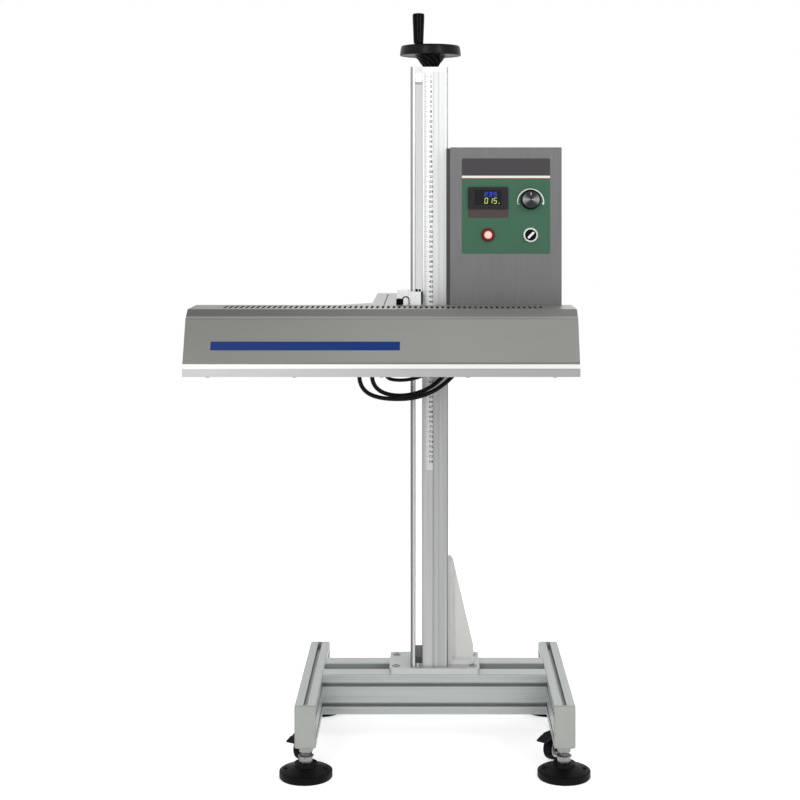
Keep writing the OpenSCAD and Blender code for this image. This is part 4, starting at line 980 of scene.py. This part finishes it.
# Painted reflection: bright wedges left and right of the cap's middle, dark ones above and below.
sheen = (side_z.math("ARCTAN2", side_x) * 2).math("COSINE") * 0.5 + 0.5
span = (side_x * side_x + side_z * side_z).math("SQRT")
turn_lines = (span * 9000).math("SINE") * 0.5 + 0.5
painted_sheen = sheen.math("POWER", 4.0) * 0.92 + turn_lines * 0.08
cap_spun.feed(colour=cap_spun.vary(painted_sheen, 0.01, 0.62),
              roughness=0.26 + turn_lines * 0.12, normal=cap_spun.bump(turn_lines, 4e-6))
skirt_black = moulded("knob_skirt", tone(14, 14, 15), 0.4, matt)
knob_columns = 192
rib = 0.0004 * np.cos(circle(knob_columns) * 48)
skirt = turned([0, 0.0197, 0.0200, 0.0196, 0.0186 + rib, 0.0182 + rib, 0.0176, 0.0172, 0.0168],
               [0.0006, 0.0006, 0.0012, 0.0030, 0.0040, 0.0150, 0.0170, 0.0172, 0.0164], knob_columns)
cap = turned([0.0168, 0.0165, 0.0030, 0.0], [0.0164, 0.0168, 0.0168, 0.0168], knob_columns)
knob_kinds = np.repeat([0, 1], [len(skirt[1]), len(cap[1])])
knob = moved(aimed(joined(skirt, cap), (0, -1, 0)), (knob_x, panel_front, knob_z))
knob_piece = add_piece("knob_turned", knob, [skirt_black, cap_spun], "knob", 30, knob_kinds)
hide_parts("power_knob")
cap_front = panel_front - 0.0168
pointer = bar_mark(knob_x, knob_z + 0.0115, 0.0009, 0.0060, cap_front - ink_t, cap_front)
add_piece("knob_pointer", pointer, [print_white], "knob")


# Indicator lamp: a lit pink-white lens, moulded with steps, in a dark red bezel. Its round body goes
# through a hole in the panel.
lamp_x, lamp_z = face_middle("indicator_lamp")
lens_glow = Finish("lamp_lens", tone(240, 150, 140), 0.2, 0.0, {"Emission Strength": 0.34})
lens_x, _, lens_z = lens_glow.axes()
off_x = lens_x - lamp_x
off_z = lens_z - lamp_z
halo = lens_glow.ramp((off_x * off_x + off_z * off_z).math("SQRT"), 0.0056, 0.0088)
lens_glow.feed(glow=lens_glow.blend(halo, tone(255, 204, 194), tone(226, 88, 80)),
               colour=lens_glow.blend(halo, tone(250, 190, 180), tone(214, 84, 78)))
bezel_red = moulded("lamp_bezel", tone(98, 44, 40), 0.4, matt)
lamp_ring = turned(*rounded_profile([(8.6, 2.6), (9.2, 3.7), (11.6, 3.6), (13.4, 2.4), (13.6, 1),
                                     (13.6, 0)]), 64)
lamp_dome = turned(*rounded_profile([(0, 9.6), (4.6, 9.2), (7.4, 7.4), (8.5, 4.6), (8.6, 2.6)]), 64)
lamp_body = turned([0, 0.0100, 0.0100, 0.0136], [-0.030, -0.030, 0.0, 0.0], 64)
lamp_kinds = np.repeat([0, 1], [len(lamp_ring[1]) + len(lamp_body[1]), len(lamp_dome[1])])
lamp_shape = moved(aimed(joined(lamp_ring, lamp_body, lamp_dome), (0, -1, 0)), (lamp_x, panel_front, lamp_z))
lamp_piece = add_piece("lamp_lit", lamp_shape, [bezel_red, lens_glow], "lift", 30, lamp_kinds)
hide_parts("indicator_lamp")


# Rotary switch: a chromed ring is screwed down on the panel. The rotor in it is moulded in black nylon
# and has a finger bar with a white pointer.
chrome = Finish("ring_chrome", tone(240, 241, 242), 0.2, 0.6)
polish = chrome.noise(0.004, 3.0)
chrome.feed(colour=chrome.vary(polish, 0.94, 1.03), roughness=0.14 + polish * 0.1)
dress(chrome, "switch_bezel")
dress(moulded("rotor_black", tone(14, 14, 15), 0.4, matt), "switch_rotor")
rotor_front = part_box("switch_rotor")[0].y
switch_pointer = bar_mark(*face_middle("switch_bezel"), 0.0165, 0.0044, rotor_front - ink_t, rotor_front, 45)
add_piece("switch_pointer", switch_pointer, [print_white], "rotor")


# Cables: two round coil leads and a thinner sensor lead with smooth black jackets. They hang in open
# loops from grommets under the head, run up plainly behind it and end in glands under the box.
jacket = Finish("cable_jacket", tone(9, 9, 10), 0.34, 0.0, shine(0.12))
mould_marks = jacket.noise(0.003, 3.0)
jacket.feed(colour=jacket.vary(mould_marks, 0.75, 1.35),
            roughness=0.30 + mould_marks * 0.12, normal=jacket.bump(mould_marks, 2e-5))


def smooth_path(points, steps=5):
    """Catmull-Rom curve: each span is a cubic through its ends with slopes from their neighbours."""
    ends = np.concatenate([[2 * points[0] - points[1]], points, [2 * points[-1] - points[-2]]])
    a, b, c, d = ends[:-3, None], ends[1:-2, None], ends[2:-1, None], ends[3:, None]
    t = np.linspace(0, 1, steps, endpoint=False)[None, :, None]
    bend = (2 * a - 5 * b + 4 * c - d) * t ** 2 + (3 * b - a - 3 * c + d) * t ** 3
    spans = 0.5 * (2 * b + (c - a) * t + bend)
    return np.concatenate([spans.reshape(-1, 3), points[-1:]])


def tube(path, diameter, columns=16):
    """Tube: a circle carried along the path, square to its slope, with closed ends."""
    slope = np.gradient(path, axis=0)
    slope /= np.linalg.norm(slope, axis=1, keepdims=True)
    side = np.cross(slope, [0.0, 1.0, 0.0])
    side /= np.linalg.norm(side, axis=1, keepdims=True)
    other = np.cross(slope, side)
    angle = circle(columns)[None, :, None]
    ring = np.cos(angle) * side[:, None] + np.sin(angle) * other[:, None]
    return lofted(path[:, None] + ring * diameter / 2)


routes = {
    "coil_cable_long": (0.0085, [
        (-140, -104, 754), (-140, -104, 743), (-138.5, -104.5, 730), (-133.5, -105, 718),
        (-124.5, -105.5, 708.5), (-112, -106, 702), (-97, -106, 698), (-80, -106, 696),
        (-62, -106, 695.5), (-44, -106, 696.5), (-26, -105.5, 699.5), (-9, -104, 704.5),
        (7, -101.5, 711.5), (22, -98, 720.5), (36, -93, 731.5), (49, -87, 745),
        (60.5, -81, 761), (71, -76.5, 779), (81, -73, 798), (90, -71, 816),
        (97, -70, 831), (100, -70, 841), (100, -70, 848)]),
    "coil_cable_middle": (0.0085, [
        (-115, -104, 754), (-115, -104, 743), (-113.5, -103.5, 731), (-108.5, -102, 720),
        (-100, -100, 711.5), (-88, -98, 705.5), (-74, -96, 702), (-58, -94.5, 701),
        (-42, -94, 702.5), (-26, -93, 706), (-11, -91.5, 711.5), (3, -89, 719),
        (16, -86, 729), (27.5, -82, 741.5), (37.5, -78, 757), (47, -75, 774),
        (56, -72.5, 792), (64.5, -71, 810), (72, -70, 828), (76, -70, 840),
        (76, -70, 848)]),
    "sensor_cable": (0.007, [
        (-90, -104, 754), (-90, -104, 748), (-86.5, -104, 740), (-79, -103, 734.5),
        (-68, -102, 732.5), (-56, -100.5, 732), (-43, -98.5, 733), (-30, -96, 735.5),
        (-17, -93, 739.5), (-5, -89.5, 745.5), (6, -86, 753.5), (16, -82, 763.5),
        (25, -78, 776), (33.5, -74.5, 790.5), (41, -72, 806.5), (47.5, -70.5, 823),
        (52, -70, 840), (52, -70, 848)]),
}
for cable_node, (cable_d, route) in routes.items():
    path = smooth_path(np.array(route) / 1000 + screw_axis)
    lead = add_piece(cable_node + "_lead", tube(path, cable_d), [jacket], "lift", 60)
    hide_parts(cable_node)
